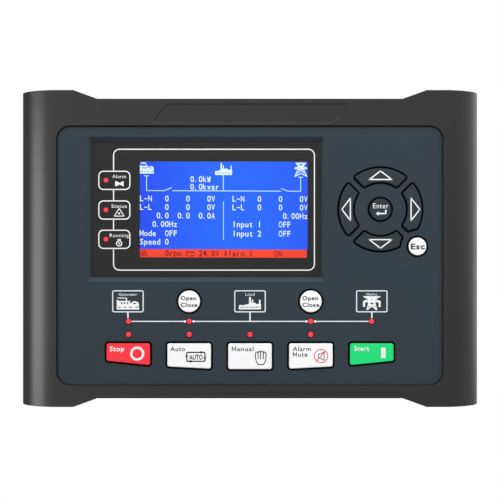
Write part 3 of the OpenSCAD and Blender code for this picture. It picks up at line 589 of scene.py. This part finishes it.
class CONTROLLER_OT_mouldings(bpy.types.Operator):
    """Finish the bezel, fascia, seals and rear housing"""

    bl_idname = "controller.mouldings"
    bl_label = "Mouldings"

    def execute(self, context):
        self.low, self.high = [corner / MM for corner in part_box("fascia_panel")]
        self.glass = [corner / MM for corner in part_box("display_window")]
        self.bezel()
        self.fascia()
        housing = finish("housing_plastic", colours().housing, rough=0.55, level=0.35, grain=0.4, size=0.5)
        for name in ("rear_housing", "vent_cover"):
            soften(name, housing, 0.35)
        rubber = finish("seal_rubber", paint("#161616"), rough=0.8, level=0.2)
        coat(rubber, "panel_gasket", "display_gasket")
        return {"FINISHED"}

    def bezel(self):
        """The flat front is matt, the ears are glossier, the left rim is rough and painted darker as
        shade, and a lighter copy paints highlights on lit slopes and walls.
        """
        tint = colours()
        plastic = finish("bezel_plastic", tint.bezel, rough=0.55, level=0.1, grain=0.15)
        fade_sides(plastic, start=112, end=118, rough=0.34)
        # Painted shade: the left rim fades to the darker rim colour
        fade_sides(plastic, start=125, end=129, rough=0.7, left_shade_colour=tint.rim)
        # Painted highlight: a lighter copy of the bezel colour on the slopes and walls that catch light
        glint = finish("bezel_glint", tint.glint, rough=0.55, level=0.1, grain=0.15)
        dress("front_bezel", [plastic, glint], self.bezel_face,
              edges=[(sizes().edge, self.at_bezel_edge)])

    def at_bezel_edge(self, p, height=84, depth=-0.6):
        """Whether a point is near the upper or the lower side, and in front of the panel."""
        return abs(p.z) > height and p.y < depth

    def bezel_face(self, normal, centre):
        """The slope below the plaque and the walls below and right of the fascia get the lighter copy of
        the bezel, a painted highlight.
        """
        plaque_half, plaque_low, plaque_high = 62, 71, 76
        well_half, well_low, well_high, well_depth = 112, -80, 72, -12
        slope = normal.z > 0.3 and -0.95 < normal.y < -0.3
        if slope and abs(centre.x) < plaque_half and plaque_low < centre.z < plaque_high:
            return 1
        wall = abs(normal.y) < 0.1 and centre.y < well_depth
        if wall and abs(centre.x) < well_half and well_low < centre.z < well_high:
            return int(normal.z > 0.3 or normal.x < -0.3)
        return 0

    def fascia(self):
        tint = colours()
        satin = finish("fascia_plastic", tint.fascia, rough=0.5, level=0.1, grain=0.15)
        # Painted shade: near-black for the walls and chamfers round the fascia's openings
        shade = finish("shade", tint.shade, rough=0.7, level=0.1, grain=0.0)
        # Painted highlight: lighter fascia on the window slopes that face up and sideways
        slope = finish("fascia_slope", tint.slope, rough=0.5, level=0.16, grain=0.15)
        dress("fascia_panel", [satin, shade, slope], self.fascia_face,
              edges=[(sizes().groove, lambda p: self.at_front(p) and self.at_rim(p)),
                     (sizes().chamfer, lambda p: self.at_front(p) and not self.in_window(p))],
              clamp=False)

    def at_front(self, p):
        return p.y < self.low.y + 0.01

    def at_rim(self, p, depth=0.6, corner=8.0):
        """Whether a point is on the fascia's outer edge."""
        x = max(0, abs(p.x) - (self.high.x - corner))
        mid = (self.high.z + self.low.z) / 2
        z = max(0, abs(p.z - mid) - (self.high.z - mid - corner))
        return math.hypot(x, z) > corner - depth

    def in_window(self, p, margin=1):
        low, high = self.glass
        return low.x - margin < p.x < high.x + margin and low.z - margin < p.z < high.z + margin

    def fascia_face(self, normal, centre):
        """The front, the lower chamfer and the upper slope of the window are fascia.

        The other slopes round the window get a lighter copy of the fascia as painted highlight, and walls
        and chamfers are painted near-black as shade.
        """
        if self.in_window(centre) and -0.98 < normal.y < -0.2:
            return 2 if normal.z > -0.2 else 0
        if normal.z < -0.3 and centre.z < self.low.z + 1 and centre.y < self.low.y + 0.5:
            return 0
        return int(normal.y > -0.98)


class CONTROLLER_OT_keys(bpy.types.Operator):
    """Finish the keys and the mat behind them"""

    bl_idname = "controller.keys"
    bl_label = "Keys"

    def execute(self, context):
        # Painted shade: near-black key bodies behind the faces, partly their own colour and partly the
        # shade in the gaps
        shade = finish("shade", colours().shade)
        slots = dict.fromkeys(MODE_KEYS + ROUND_KEYS, "key_white")
        slots.update(dict.fromkeys(ARROW_KEYS + ("enter_key",), "key_grey"))
        slots.update(stop_key="key_red", start_key="key_green")
        for name in MODE_KEYS + ARROW_KEYS + ROUND_KEYS:
            dress(name, [self.cap(slots[name]), shade], self.key_face, body=name + "_body")
        coat(finish("mat_silicone", paint("#101010"), rough=0.8, level=0.2), "keypad_mat")
        return {"FINISHED"}

    def cap(self, slot):
        drift = {"key_white": 0.02, "key_grey": 0.06}.get(slot, 0.03)
        return finish(slot, getattr(colours(), slot), rough=0.5, level=0.16, grain=0.1, drift=drift)

    def key_face(self, normal, centre, bevel=0.39):
        """The face and its bevel are coloured, and the body behind is dark: partly the key's own black
        body, partly painted shade in the gap round it.
        """
        return int(centre.y > KEY_Y + bevel)


class CONTROLLER_OT_legends(bpy.types.Operator):
    """Print the legends on the keys"""

    bl_idname = "controller.legends"
    bl_label = "Key legends"

    def execute(self, context):
        self.stop()
        self.auto()
        self.manual()
        self.mute()
        self.start()
        self.breakers()
        self.enter()
        self.escape()
        self.arrows()
        return {"FINISHED"}

    def stamp(self, ink, key, colour):
        """Makes a key's legend solid on the key's body."""
        slot = "key_white" if colour == "ink_white" else "chip_black"
        ink.solid(key.replace("_key", "_legend"), print_finish(colour), key + "_body", slot)

    def stop(self):
        ink = Ink(KEY_Y, spot("stop_key"))
        ink.words("Stop", -10.7, -2.3, -6.2, 2.75, bold=0.024, spread=1.1)
        ink.disc(5.2, -7.5, 4.05, stroke=1.3, segments=48)
        self.stamp(ink, "stop_key", "ink_white")

    def auto(self):
        """A word, and the same in a frame of arrows that run round it."""
        ink = Ink(KEY_Y, spot("auto_key"))
        ink.words("Auto", -10.8, -2.3, -6.0, 2.45, bold=0.014, spread=1.12)
        ink.rect(-1.65, -12.25, 9.45, -6.45, radius=0.8, stroke=0.7)
        ink.words("AUTO", 0.1, 7.8, -10.9, 2.7, bold=0.03, spread=1.08)
        head = ((-0.95, -0.85), (0.95, 0.0), (-0.95, 0.85))
        for k, (x, z) in enumerate(((7.6, -6.75), (-1.35, -8.3), (0.4, -11.95), (9.15, -10.5))):
            ink.shape([(x + p.x, z + p.y) for p in turned(head, k)])
        self.stamp(ink, "auto_key", "ink_dark")

    def manual(self):
        ink = Ink(KEY_Y, spot("manual_key"))
        ink.letter("M", -10.2, -8.2, -6.0, 2.45, 0.38)
        ink.words("anual", -7.4, 2.0, -6.0, 2.45, bold=0.014, spread=1.12)
        self.hand(Icon(ink, (3.0, -14.0, 9.3, -6.0)))
        self.stamp(ink, "manual_key", "ink_dark")

    def hand(self, icon, stroke=0.52):
        """The outline of a palm with four fingers."""
        icon.path([(0.02, 0.8), (0.02, 0.5), (0.12, 0.2), (0.27, 0.03), (0.75, 0.03), (0.9, 0.2),
                   (0.98, 0.5), (0.98, 0.8)], stroke)
        for k, top in enumerate((0.92, 0.98, 0.98, 0.92)):
            u0, u1 = 0.02 + 0.24 * k, 0.26 + 0.24 * k
            root = 0.42 if k < 3 else 0.78
            icon.path([(u0, 0.78), (u0, top - 0.08), (u0 + 0.06, top), (u1 - 0.06, top),
                       (u1, top - 0.08), (u1, root)], stroke)

    def mute(self):
        """Two words and a loudspeaker under a barred red ring."""
        ink = Ink(KEY_Y, spot("mute_key"))
        ink.words("Alarm", -10.4, 0.0, -6.0, 2.45, bold=0.012, spread=1.12)
        ink.letter("M", -10.2, -8.2, -9.2, 2.35, 0.38)
        ink.words("ute", -7.4, -2.0, -9.2, 2.35, bold=0.014, spread=1.12)
        ink.path([(4.3, -7.7), (4.3, -10.1), (5.4, -10.1), (7.6, -11.4), (7.6, -6.5), (5.4, -7.7),
                  (4.2, -7.7)], 0.4)
        self.stamp(ink, "mute_key", "ink_dark")
        ring = Ink(KEY_Y, spot("mute_key"))
        ring.disc(5.8, -8.9, 4.1, stroke=0.5, segments=48)
        ring.line((3.2, -11.7), (8.4, -6.1), 0.5)
        ring.solid("mute_ring", print_finish("ink_red"), "mute_key_body", "key_red", thick=0.04)

    def start(self):
        ink = Ink(KEY_Y, spot("start_key"))
        ink.words("Start", -10.2, -1.5, -5.9, 2.6, bold=0.024, spread=1.1)
        ink.rect(5.35, -10.0, 7.85, -4.1)
        self.stamp(ink, "start_key", "ink_white")

    def breakers(self):
        for key in BREAKER_KEYS:
            ink = Ink(KEY_Y, spot(key))
            ink.words("Open", -4.9, 4.1, 0.8, 2.2, bold=0.026, spread=1.12)
            ink.words("Close", -4.9, 4.8, -3.1, 2.25, bold=0.026, spread=1.12)
            self.stamp(ink, key, "ink_grey")

    def enter(self):
        """A word over a bent arrow."""
        ink = Ink(KEY_Y, spot("enter_key"))
        ink.words("Enter", -4.3, 4.6, 0.6, 2.85, bold=0.008, spread=1.12)
        ink.path([(-1.4, -2.4), (3.0, -2.4), (3.0, -0.3)], 0.85)
        ink.shape([(-2.8, -2.4), (-1.0, -3.65), (-1.0, -1.15)])
        self.stamp(ink, "enter_key", "ink_white")

    def escape(self):
        ink = Ink(KEY_Y, spot("esc_key"))
        ink.words("Esc", -3.9, 4.1, -1.6, 3.1, bold=0.032, spread=1.12)
        self.stamp(ink, "esc_key", "ink_grey")

    def arrows(self, half=6.45, stroke=0.7):
        """Triangles that point away from the enter key, between a foot and a tip."""
        reach = ((17.15, 22.05), (17.35, 22.2), (17.4, 22.35), (17.55, 22.55))
        for k, (key, (foot, tip)) in enumerate(zip(ARROW_KEYS, reach)):
            ink = Ink(KEY_Y, spot("enter_key"))
            outline = ((0, foot), (half, foot), (0, tip), (-half, foot), (0, foot))
            ink.path(turned(outline, k), stroke)
            self.stamp(ink, key, "ink_white")


class CONTROLLER_OT_window(bpy.types.Operator):
    """Make the window clear, lay its dark film and print the frame line"""

    bl_idname = "controller.window"
    bl_label = "Window"

    def execute(self, context):
        coat(clear_acrylic(), "display_window")
        low, high = [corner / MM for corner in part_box("display_window")]
        rebate = 2.1
        film = Ink(GLASS_Y)
        film.border((low.x + rebate, low.z + rebate, high.x - rebate, high.z - rebate), CLEAR)
        film_t = sizes().film / MM
        smoke = finish("window_film", colours().window, rough=0.5, level=0.16, grain=0.1)
        film.solid("window_film", smoke, BODY, "window_acrylic", thick=film_t)
        self.frame_line(GLASS_Y - film_t)
        return {"FINISHED"}

    def frame_line(self, y):
        """A rounded line with gaps on its left side where the lamp fields are."""
        left, lower, right, upper = -78.9, -12.5, 37.25, 57.4
        gap = 5.4
        half = FRAME_LINE / 2
        ink = Ink(y)
        ink.rect(left - half, lower - half, right + half, upper + half, radius=3.7, stroke=FRAME_LINE,
                 gaps=[(z - gap, z + gap) for z in FIELDS])
        ink.solid("window_line", print_finish("ink_white"), BODY, "key_white")


class CONTROLLER_OT_fields(bpy.types.Operator):
    """Print the three lamp fields of the window"""

    bl_idname = "controller.fields"
    bl_label = "Lamp fields"

    def execute(self, context):
        top = GLASS_Y - sizes().film / MM
        ink = Ink(top)
        lens = Ink(top)
        lamp_x = spot("alarm_light_pipes")[0]
        fields = (("Alarm", 3.7, 11.5, self.horn), ("Status", 3.1, 12.1, self.triangle),
                  ("Running", 2.1, 13.2, self.motor))
        for z, (words, x0, x1, symbol) in zip(FIELDS, fields):
            ink.origin = lens.origin = (lamp_x, z)
            ink.rect(-4.45, -5.65, 14.15, 5.5, radius=2.9, stroke=FRAME_LINE)
            ink.words(words, x0, x1, 1.2, 2.0, spread=1.08)
            symbol(ink)
            lens.disc(0, 0, 1.34)
        ink.solid("field_print", print_finish("ink_white"), BODY, "key_white")
        lens.solid("field_lenses", lit_lens(), BODY, "lens_red")
        return {"FINISHED"}

    def horn(self, ink):
        ink.shape([(5.3, -3.5), (6.6, -3.2), (7.9, -2.5), (10.2, -3.6), (10.2, -0.4), (7.9, -1.5),
                   (6.6, -0.8), (5.3, -0.5)])

    def triangle(self, ink):
        ink.shape([(4.4, -3.85), (10.9, -3.85), (7.65, 1.35)], radius=0.4, stroke=0.5)
        ink.disc(7.65, -2.05, 0.6, segments=16)

    def motor(self, ink):
        ink.disc(7.6, -2.45, 1.8, stroke=0.6)
        ink.rect(6.7, -1.0, 8.5, 0.1)
        ink.shape([(7.0, -1.4), (8.4, -2.6), (7.4, -3.2)])


class CONTROLLER_OT_mimic(bpy.types.Operator):
    """Print the mimic diagram on the fascia"""

    bl_idname = "controller.mimic"
    bl_label = "Mimic diagram"

    # Height of the upper row of lights, and thickness of the symbols
    row = -41.93
    art_t = 0.045

    def execute(self, context):
        self.line = Ink(FACE_Y)
        self.art = Ink(FACE_Y)
        self.gaps = Ink(FACE_Y - self.art_t)
        self.station(-70.25, 1.83, genset_icon, (-6.45, 6.83, 6.45, 13.93))
        self.art.words("Generator", -5.3, 5.3, 14.78, 1.5)
        self.station(0, 0.31, factory_icon, (-6.4, 6.93, 6.35, 14.23))
        self.art.words("Load", -2.65, 2.65, 14.83, 1.5)
        self.station(70.1, 1.83, pylon_icon, (-5.3, 6.53, 5.3, 14.53))
        self.art.letter("M", -2.95, -1.65, 14.98, 1.3, 0.22)
        self.art.words("ains", -1.3, 3.05, 14.98, 1.3)
        self.bus()
        self.line.solid("mimic_lines", print_finish("ink_pale"), BODY, "key_white")
        self.art.solid("mimic_art", print_finish("ink_white"), BODY, "key_white", thick=self.art_t)
        satin = finish("fascia_plastic", colours().fascia)
        self.gaps.solid("mimic_gaps", satin, BODY, "fascia_plastic", thick=0.01)
        return {"FINISHED"}

    def station(self, x, foot, draw, box):
        """A framed symbol above the row of lights, with a drop line down to the foot."""
        for ink in (self.line, self.art, self.gaps):
            ink.origin = (x, self.row)
        lower, upper = 5.18, 17.9
        self.line.rect(-9.08, lower, 9.08, upper, radius=1.1, stroke=FRAME_LINE)
        self.line.rect(-0.43, foot, 0.43, lower)
        draw(Icon(self.art, box, self.gaps))

    def bus(self):
        """The line along the row of lights, with a contact on each side of a breaker's light."""
        self.line.origin = self.art.origin = (0, self.row)
        for x0, x1 in ((-68.2, -37.6), (-32.4, 32.4), (37.6, 68.2)):
            self.line.rect(x0, -0.32, x1, 0.31)
        for x in (-37.5, -32.5, 32.5, 37.5):
            self.art.disc(x, 0, 0.7, segments=16)


class CONTROLLER_OT_display(bpy.types.Operator):
    """Draw the picture of the display"""

    bl_idname = "controller.display"
    bl_label = "Display picture"

    # Points of the display, counted from its upper left corner, and the picture's size in millimetres
    wide, tall = 480, 272
    pitch_x, pitch_z = 97.9 / wide, 56.0 / tall
    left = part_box("lcd_glass")[0].x / MM + 3.3
    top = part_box("lcd_glass")[1].z / MM - 4.85
    slant = 2.0 / wide

    # Middle of the picture, and of the fade of its lines, in millimetres
    centre = left + wide / 2 * pitch_x
    rules_x = -15

    # Top of the bar, width of a letter's cell and height of capitals, in points
    bar_top = 248
    cell = 12
    cap = 16

    def at(self, x, y):
        """Place in the front view of a point of the slightly slanted picture."""
        y += (x - self.wide / 2) * self.slant
        return (self.left + x * self.pitch_x, self.top - y * self.pitch_z)

    def execute(self, context):
        tint = colours()
        coat(finish("frame_steel", paint("#9a9ea2"), rough=0.35, metal=1.0), "lcd_frame")
        coat(finish("glass_edge", paint("#1b2440"), rough=0.2), "lcd_glass")
        back = Ink(PICTURE_Y)
        self.sheet(back, 479.5, self.bar_top, 0)
        blue = lit_screen("screen_blue", tint.screen, tint.screen_edge, self.centre + 8)
        back.solid("screen_blue", blue, BODY, "display_picture")
        bar = Ink(PICTURE_Y)
        self.sheet(bar, 477, 271, self.bar_top)
        self.glow(bar, "screen_bar", tint.bar)
        front = PICTURE_Y - sizes().ink / MM
        rules = Ink(front)
        self.rules(rules)
        self.glow(rules, "screen_lines", tint.screen_line, x=self.rules_x)
        ink, holes = Ink(front), Ink(front - 0.03)
        self.icons(ink, holes)
        self.readings(ink)
        self.glow(ink, "screen_text", tint.screen_text)
        holes.solid("screen_holes", blue, BODY, "display_picture", thick=0.01)
        dark = Ink(front)
        self.bar_line(dark)
        self.glow(dark, "screen_bar_text", tint.bar_text)
        return {"FINISHED"}

    def sheet(self, ink, right, lower, upper, left=1):
        ink.shape([self.at(*p) for p in corners(left, lower, right, upper)])

    def glow(self, ink, name, colour, x=centre, dim=0.88):
        """Makes a part of the picture solid, a little dimmer towards its sides."""
        edge = [dim * c for c in colour]
        ink.solid(name, lit_screen(name, colour, edge, x), BODY, "display_picture")

    def icons(self, ink, holes):
        genset_icon(Icon(ink, (*self.at(1, 35), *self.at(41, 3)), holes))
        factory_icon(Icon(ink, (*self.at(215, 38), *self.at(264, 3)), holes), chimney=0.33)
        tower = Icon(ink, (*self.at(441, 42), *self.at(479, 2)), holes)
        tower.shape([(0.3, 0.6), (0.7, 0.6), (0.72, 0.74), (0.92, 1), (0.08, 1), (0.28, 0.74)])
        tower.shape([(0, 0.58), (0.1, 0.53), (0.9, 0.53), (1, 0.58), (0.9, 0.7), (0.1, 0.7)])
        tower.rect(0.42, 0.8, 0.58, 0.9, gap=True)
        tower.lines(0.6, ((0.34, 0.6), (0.04, 0)), ((0.66, 0.6), (0.96, 0)), ((0.2, 0.26), (0.68, 0.56)),
                    ((0.8, 0.26), (0.32, 0.56)), ((0.06, 0.04), (0.5, 0.24)), ((0.94, 0.04), (0.5, 0.24)))

    def rules(self, ink):
        """Lines of the one-line diagram and the rule between the two halves."""
        for x, y in ((20.0, 41), (459.5, 43)):
            ink.line(self.at(x, y), self.at(x, 83.9), 0.5)
            ink.line(self.at(x - 7, y), self.at(x + 7, y), 0.5)
        for a, b in (((21.2, 82.8), (71.5, 82.8)), ((70.5, 83), (92, 74)), ((94, 82.8), (404, 82.8)),
                     ((424, 83), (404, 75)), ((421, 82.8), (458.3, 82.8)), ((239, 38), (239, 81.5))):
            ink.line(self.at(*a), self.at(*b), 0.5)
        ink.line(self.at(239.3, 112.5), self.at(239.3, 221), 0.4)

    def readings(self, ink):
        """Rows of words and figures, each with its height and first column."""
        rows = ((49.7, 12, "0.0kW"), (71.3, 12, "0.0kvar"), (153, 4, "0.0"), (153, 9, "0.0"),
                (153, 14, "0.0A"), (153, 34, "0.00Hz"), (177, 3, "0.00Hz"), (177, 22, "Input 1    OFF"),
                (203, 0, "Mode  OFF"), (203, 22, "Input 2    OFF"), (227, 0, "Speed 0"))
        for y, column, words in rows:
            self.write(ink, words, column, y)
        for y, name in ((105, "L-N"), (129, "L-L")):
            for half in (0, 22):
                for column, words in ((0, name), (6, "0"), (11, "0"), (16, "0V")):
                    self.write(ink, words, half + column, y)

    def bar_line(self, ink):
        """Words of the bar, with a battery and three rings."""
        for column, words in ((6, "0rpm"), (14, "24.0V"), (20, "Alarm 1     ON")):
            self.write(ink, words, column, 259.6)
        ink.rect(*self.at(132, 268), *self.at(156, 256), radius=0.3, stroke=0.4)
        for x in (135, 148):
            ink.rect(*self.at(x, 256), *self.at(x + 5, 253))
        for x, y in ((8, 263), (17, 263), (12.5, 256)):
            ink.disc(*self.at(x, y), 1.15, stroke=0.4)

    def write(self, ink, words, column, y):
        """Words in the display's fixed cells, with the middle of their capitals at y."""
        base = y + self.cap / 2
        for k, letter in enumerate(words):
            x = self.cell * (column + k) + (3 if letter == "." else 6)
            if letter == "-":
                ink.rect(*self.at(x - 4.5, y + 2), *self.at(x + 4.5, y - 0.5))
            elif letter in LETTERS:
                x0, z0 = self.at(x - 4.6, base)
                ink.letter(letter, x0, x0 + 9.2 * self.pitch_x, z0, self.cap * self.pitch_z, 0.42)
            elif letter != " ":
                self.glyph(ink, letter, x, base)

    def glyph(self, ink, letter, x, base):
        """A letter of the typeface, as wide as a cell lets it be."""
        data = word_mesh(letter, bold=0.012)
        xs = [v.co.x for v in data.vertices]
        left, span = min(xs), max(xs) - min(xs)
        wide = min(11.4 if letter in "mw" else 10.4, span / CAP * 15.6)
        for v in data.vertices:
            u = (v.co.x - left) / span - 0.5
            v.co = ink.point(*self.at(x + u * wide, base - v.co.y / CAP * self.cap))
        ink.mesh.from_mesh(data)
        bpy.data.meshes.remove(data)


class CONTROLLER_OT_lights(bpy.types.Operator):
    """Light the lenses of the status lights"""

    bl_idname = "controller.lights"
    bl_label = "Lights"

    def execute(self, context):
        coat(lit_lens(), "status_light_pipes", "alarm_light_pipes")
        coat(finish("chip_white", paint("#e8e6da"), rough=0.4), "led_chips")
        return {"FINISHED"}


class CONTROLLER_OT_inside(bpy.types.Operator):
    """Finish the boards and the parts on them"""

    bl_idname = "controller.inside"
    bl_label = "Boards"

    def execute(self, context):
        coat(finish("board_green", paint("#1d5a34"), rough=0.35, grain=0.1), "front_pcb", "io_pcb")
        coat(finish("chip_black", paint("#1a1a1c"), rough=0.5),
             "processor", "board_socket", "board_header", "battery_holder")
        coat(finish("contact_gold", paint("#d8b24a"), rough=0.3, metal=1.0), "key_contacts", "pcb_spacers")
        coat(finish("cell_steel", paint("#c4c7ca"), rough=0.3, metal=1.0), "clock_battery")
        coat(finish("ribbon_film", paint("#a8641d"), rough=0.3), "lcd_ribbon")
        coat(finish("connector_cream", paint("#e0dac6"), rough=0.5), "lcd_connector")
        coat(finish("relay_blue", paint("#1d3a72"), rough=0.4), "output_relays")
        coat(finish("coil_dark", paint("#20242e"), rough=0.45), "current_transformers", "capacitors")
        return {"FINISHED"}


class CONTROLLER_OT_fixings(bpy.types.Operator):
    """Finish the terminals, screws, clips and the service port"""

    bl_idname = "controller.fixings"
    bl_label = "Terminals and fixings"

    def execute(self, context):
        header = finish("header_green", paint("#276b3f"), rough=0.45)
        plug = finish("plug_green", paint("#2c8650"), rough=0.45)
        for name in list(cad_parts):
            if "_plug_" in name:
                soften(name, plug, 0.2)
            elif "_header_" in name:
                coat(header, name)
        coat(finish("screw_steel", paint("#b4b8bc"), rough=0.3, metal=1.0, grain=0.1),
             "board_screws", "housing_screws", "terminal_screws", "clip_screws")
        clip = finish("clip_steel", paint("#a9adb2"), rough=0.35, metal=1.0, grain=0.2)
        soften("fixing_clips", clip, 0.2)
        steel = finish("port_steel", paint("#bdc0c3"), rough=0.3, metal=1.0)
        # Painted shade: the hollow inside the port is near-black
        hollow_shade = finish("port_cavity", paint("#141416"), rough=0.6)
        tongue = finish("port_tongue", paint("#e6e5e0"), rough=0.5)
        dress("service_port", [steel, hollow_shade, tongue], self.port_face,
              edges=[(0.15 * MM, lambda p: True)])
        return {"FINISHED"}

    def port_face(self, normal, centre, wall=0.52):
        """The shell is steel, and inside it the hollow round a pale tongue is painted dark as shade."""
        low, high = [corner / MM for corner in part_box("service_port")]
        half = (high - low) / 2
        off = centre - (low + high) / 2
        if abs(off.x) > half.x - wall or abs(off.z) > half.z - wall or centre.y > high.y - 0.2:
            return 0
        return 2 if abs(off.x) < half.x / 2 + 0.1 and abs(off.z) < half.z / 3 + 0.1 else 1


class CONTROLLER_OT_stage(bpy.types.Operator):
    """Set up the floor, the lights and the camera"""

    bl_idname = "controller.stage"
    bl_label = "Stage"

    def execute(self, context):
        scene = context.scene
        stage = scene.controller_stage
        scene.view_settings.view_transform = "Standard"
        self.sky(scene, stage.sky)
        self.floor()
        self.lamp("top_light", (0.0, -0.3, 0.42), (0, 0, 0), (0.6, 0.3), stage.top)
        self.lamp("left_light", (-0.75, -0.5, 0.0), (-0.05, 0, 0), (0.25, 0.55), stage.left, "diffuse")
        self.lamp("right_light", (0.8, -0.35, 0.1), (0.05, 0, 0), (0.3, 0.5), stage.right, "diffuse")
        self.lamp("left_strip", (-0.493, -0.267, -0.06), (-0.12, 0, -0.02), (0.24, 0.42), stage.strip,
                  "glossy")
        self.lamp("right_strip", (0.8, 0.1, 0.1), (0.12, 0, 0), (0.5, 0.6), stage.edge, "glossy")
        self.lamp("rim_light", (0.79, 0.24, 0.15), (0.13, 0, 0), (0.35, 0.6), stage.rim)
        self.lamp("back_light", (0.1, 0.6, 0.5), (0, 0, 0), (0.7, 0.4), stage.back)
        self.camera(scene, stage)
        return {"FINISHED"}

    def camera(self, scene, stage):
        camera = bpy.data.cameras.new("camera")
        camera.sensor_width = 36
        camera.lens = camera.sensor_width * stage.distance / stage.width
        camera.clip_start = 0.01
        view = bpy.data.objects.new("camera", camera)
        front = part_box("front_bezel")[0].y
        view.location = (0, front - stage.distance, -stage.drop)
        view.rotation_euler = (math.pi / 2, 0, 0)
        scene.collection.objects.link(view)
        scene.camera = view

    def sky(self, scene, strength):
        """Soft light all round, which looks white to the camera and in mirrors and glass."""
        world = bpy.data.worlds.new("studio")
        scene.world = world
        world.use_nodes = True
        tree = world.node_tree
        soft = tree.nodes["Background"]
        soft.inputs["Color"].default_value = (1, 1, 1, 1)
        soft.inputs["Strength"].default_value = strength
        white = node(tree, "Background", (1, 1, 1, 1))
        both = node(tree, "MixShader", self.seen(tree), soft.outputs["Background"], white)
        tree.links.new(both, tree.nodes["World Output"].inputs["Surface"])

    def seen(self, tree):
        """1 for camera, mirror and see-through rays."""
        path = tree.nodes.new("ShaderNodeLightPath")
        total = path.outputs["Is Camera Ray"]
        for name in ("Is Glossy Ray", "Is Transmission Ray"):
            total = node(tree, "Math", total, path.outputs[name], use={"operation": "MAXIMUM"})
        return total

    def floor(self, radius=0.9, z=-0.22, near=0.1, far=0.235, least=0.35):
        """A round floor that takes a soft shadow near the object and is white from far on."""
        mesh = bmesh.new()
        bmesh.ops.create_circle(mesh, cap_ends=True, segments=64, radius=radius,
                                matrix=Matrix.Translation((0, 0, z)))
        data = bpy.data.meshes.new("floor")
        mesh.to_mesh(data)
        mesh.free()
        floor = bpy.data.objects.new("floor", data)
        bpy.context.scene.collection.objects.link(floor)
        material, tree, shader = new_material("floor_white")
        shader.inputs["Base Color"].default_value = (0.6, 0.6, 0.6, 1)
        shader.inputs["Roughness"].default_value = 0.9
        coords = node(tree, "TexCoord", out="Object")
        away = node(tree, "VectorMath", coords, out="Value", use={"operation": "LENGTH"})
        fade = node(tree, "MapRange", use={"interpolation_type": "SMOOTHSTEP"}, Value=away,
                    From_Min=near, From_Max=far, To_Min=least)
        white = node(tree, "Math", fade, self.seen(tree), use={"operation": "MULTIPLY"})
        both = node(tree, "MixShader", white, shader.outputs["BSDF"], node(tree, "Emission"))
        tree.links.new(both, tree.nodes["Material Output"].inputs["Surface"])
        data.materials.append(material)

    def lamp(self, name, where, aim, size, power, only=None):
        """A soft rectangular lamp. One that only shows as a reflection shows on the bezel alone."""
        data = bpy.data.lights.new(name, "AREA")
        data.shape = "RECTANGLE"
        data.size, data.size_y = size
        data.energy = power
        lamp = bpy.data.objects.new(name, data)
        lamp.location = where
        lamp.rotation_euler = (Vector(aim) - Vector(where)).to_track_quat("-Z", "Y").to_euler()
        lamp.visible_camera = False
        lamp.visible_diffuse = only != "glossy"
        lamp.visible_glossy = only != "diffuse"
        bpy.context.scene.collection.objects.link(lamp)
        if only == "glossy":
            lit = bpy.data.collections.new(name + "_lit")
            lit.objects.link(bpy.data.objects["front_bezel_dressed"])
            lamp.light_linking.receiver_collection = lit


class CONTROLLER_PT_looks(bpy.types.Panel):
    """Colours, sizes and steps of the controller's looks"""

    bl_label = "Controller"
    bl_space_type = "VIEW_3D"
    bl_region_type = "UI"
    bl_category = "Controller"

    def draw(self, context):
        for group in GROUPS:
            values = getattr(context.scene, group)
            column = self.layout.column(align=True)
            for name in values.__annotations__:
                column.prop(values, name)
        for step in STEPS:
            self.layout.operator(step.bl_idname)


STEPS = (CONTROLLER_OT_mouldings, CONTROLLER_OT_keys, CONTROLLER_OT_legends, CONTROLLER_OT_window,
         CONTROLLER_OT_fields, CONTROLLER_OT_mimic, CONTROLLER_OT_display, CONTROLLER_OT_lights,
         CONTROLLER_OT_inside, CONTROLLER_OT_fixings, CONTROLLER_OT_stage)
GROUPS = {"controller_colours": ControllerColours, "controller_sizes": ControllerSizes,
          "controller_stage": ControllerStage}


def register():
    for name, group in GROUPS.items():
        bpy.utils.register_class(group)
        setattr(bpy.types.Scene, name, bpy.props.PointerProperty(type=group))
    for step in STEPS:
        bpy.utils.register_class(step)
    bpy.utils.register_class(CONTROLLER_PT_looks)


def unregister():
    bpy.utils.unregister_class(CONTROLLER_PT_looks)
    for step in reversed(STEPS):
        bpy.utils.unregister_class(step)
    for name, group in GROUPS.items():
        delattr(bpy.types.Scene, name)
        bpy.utils.unregister_class(group)


def main():
    register()
    for step in STEPS:
        area, name = step.bl_idname.split(".")
        getattr(getattr(bpy.ops, area), name)()


if __name__ == "__main__":
    main()
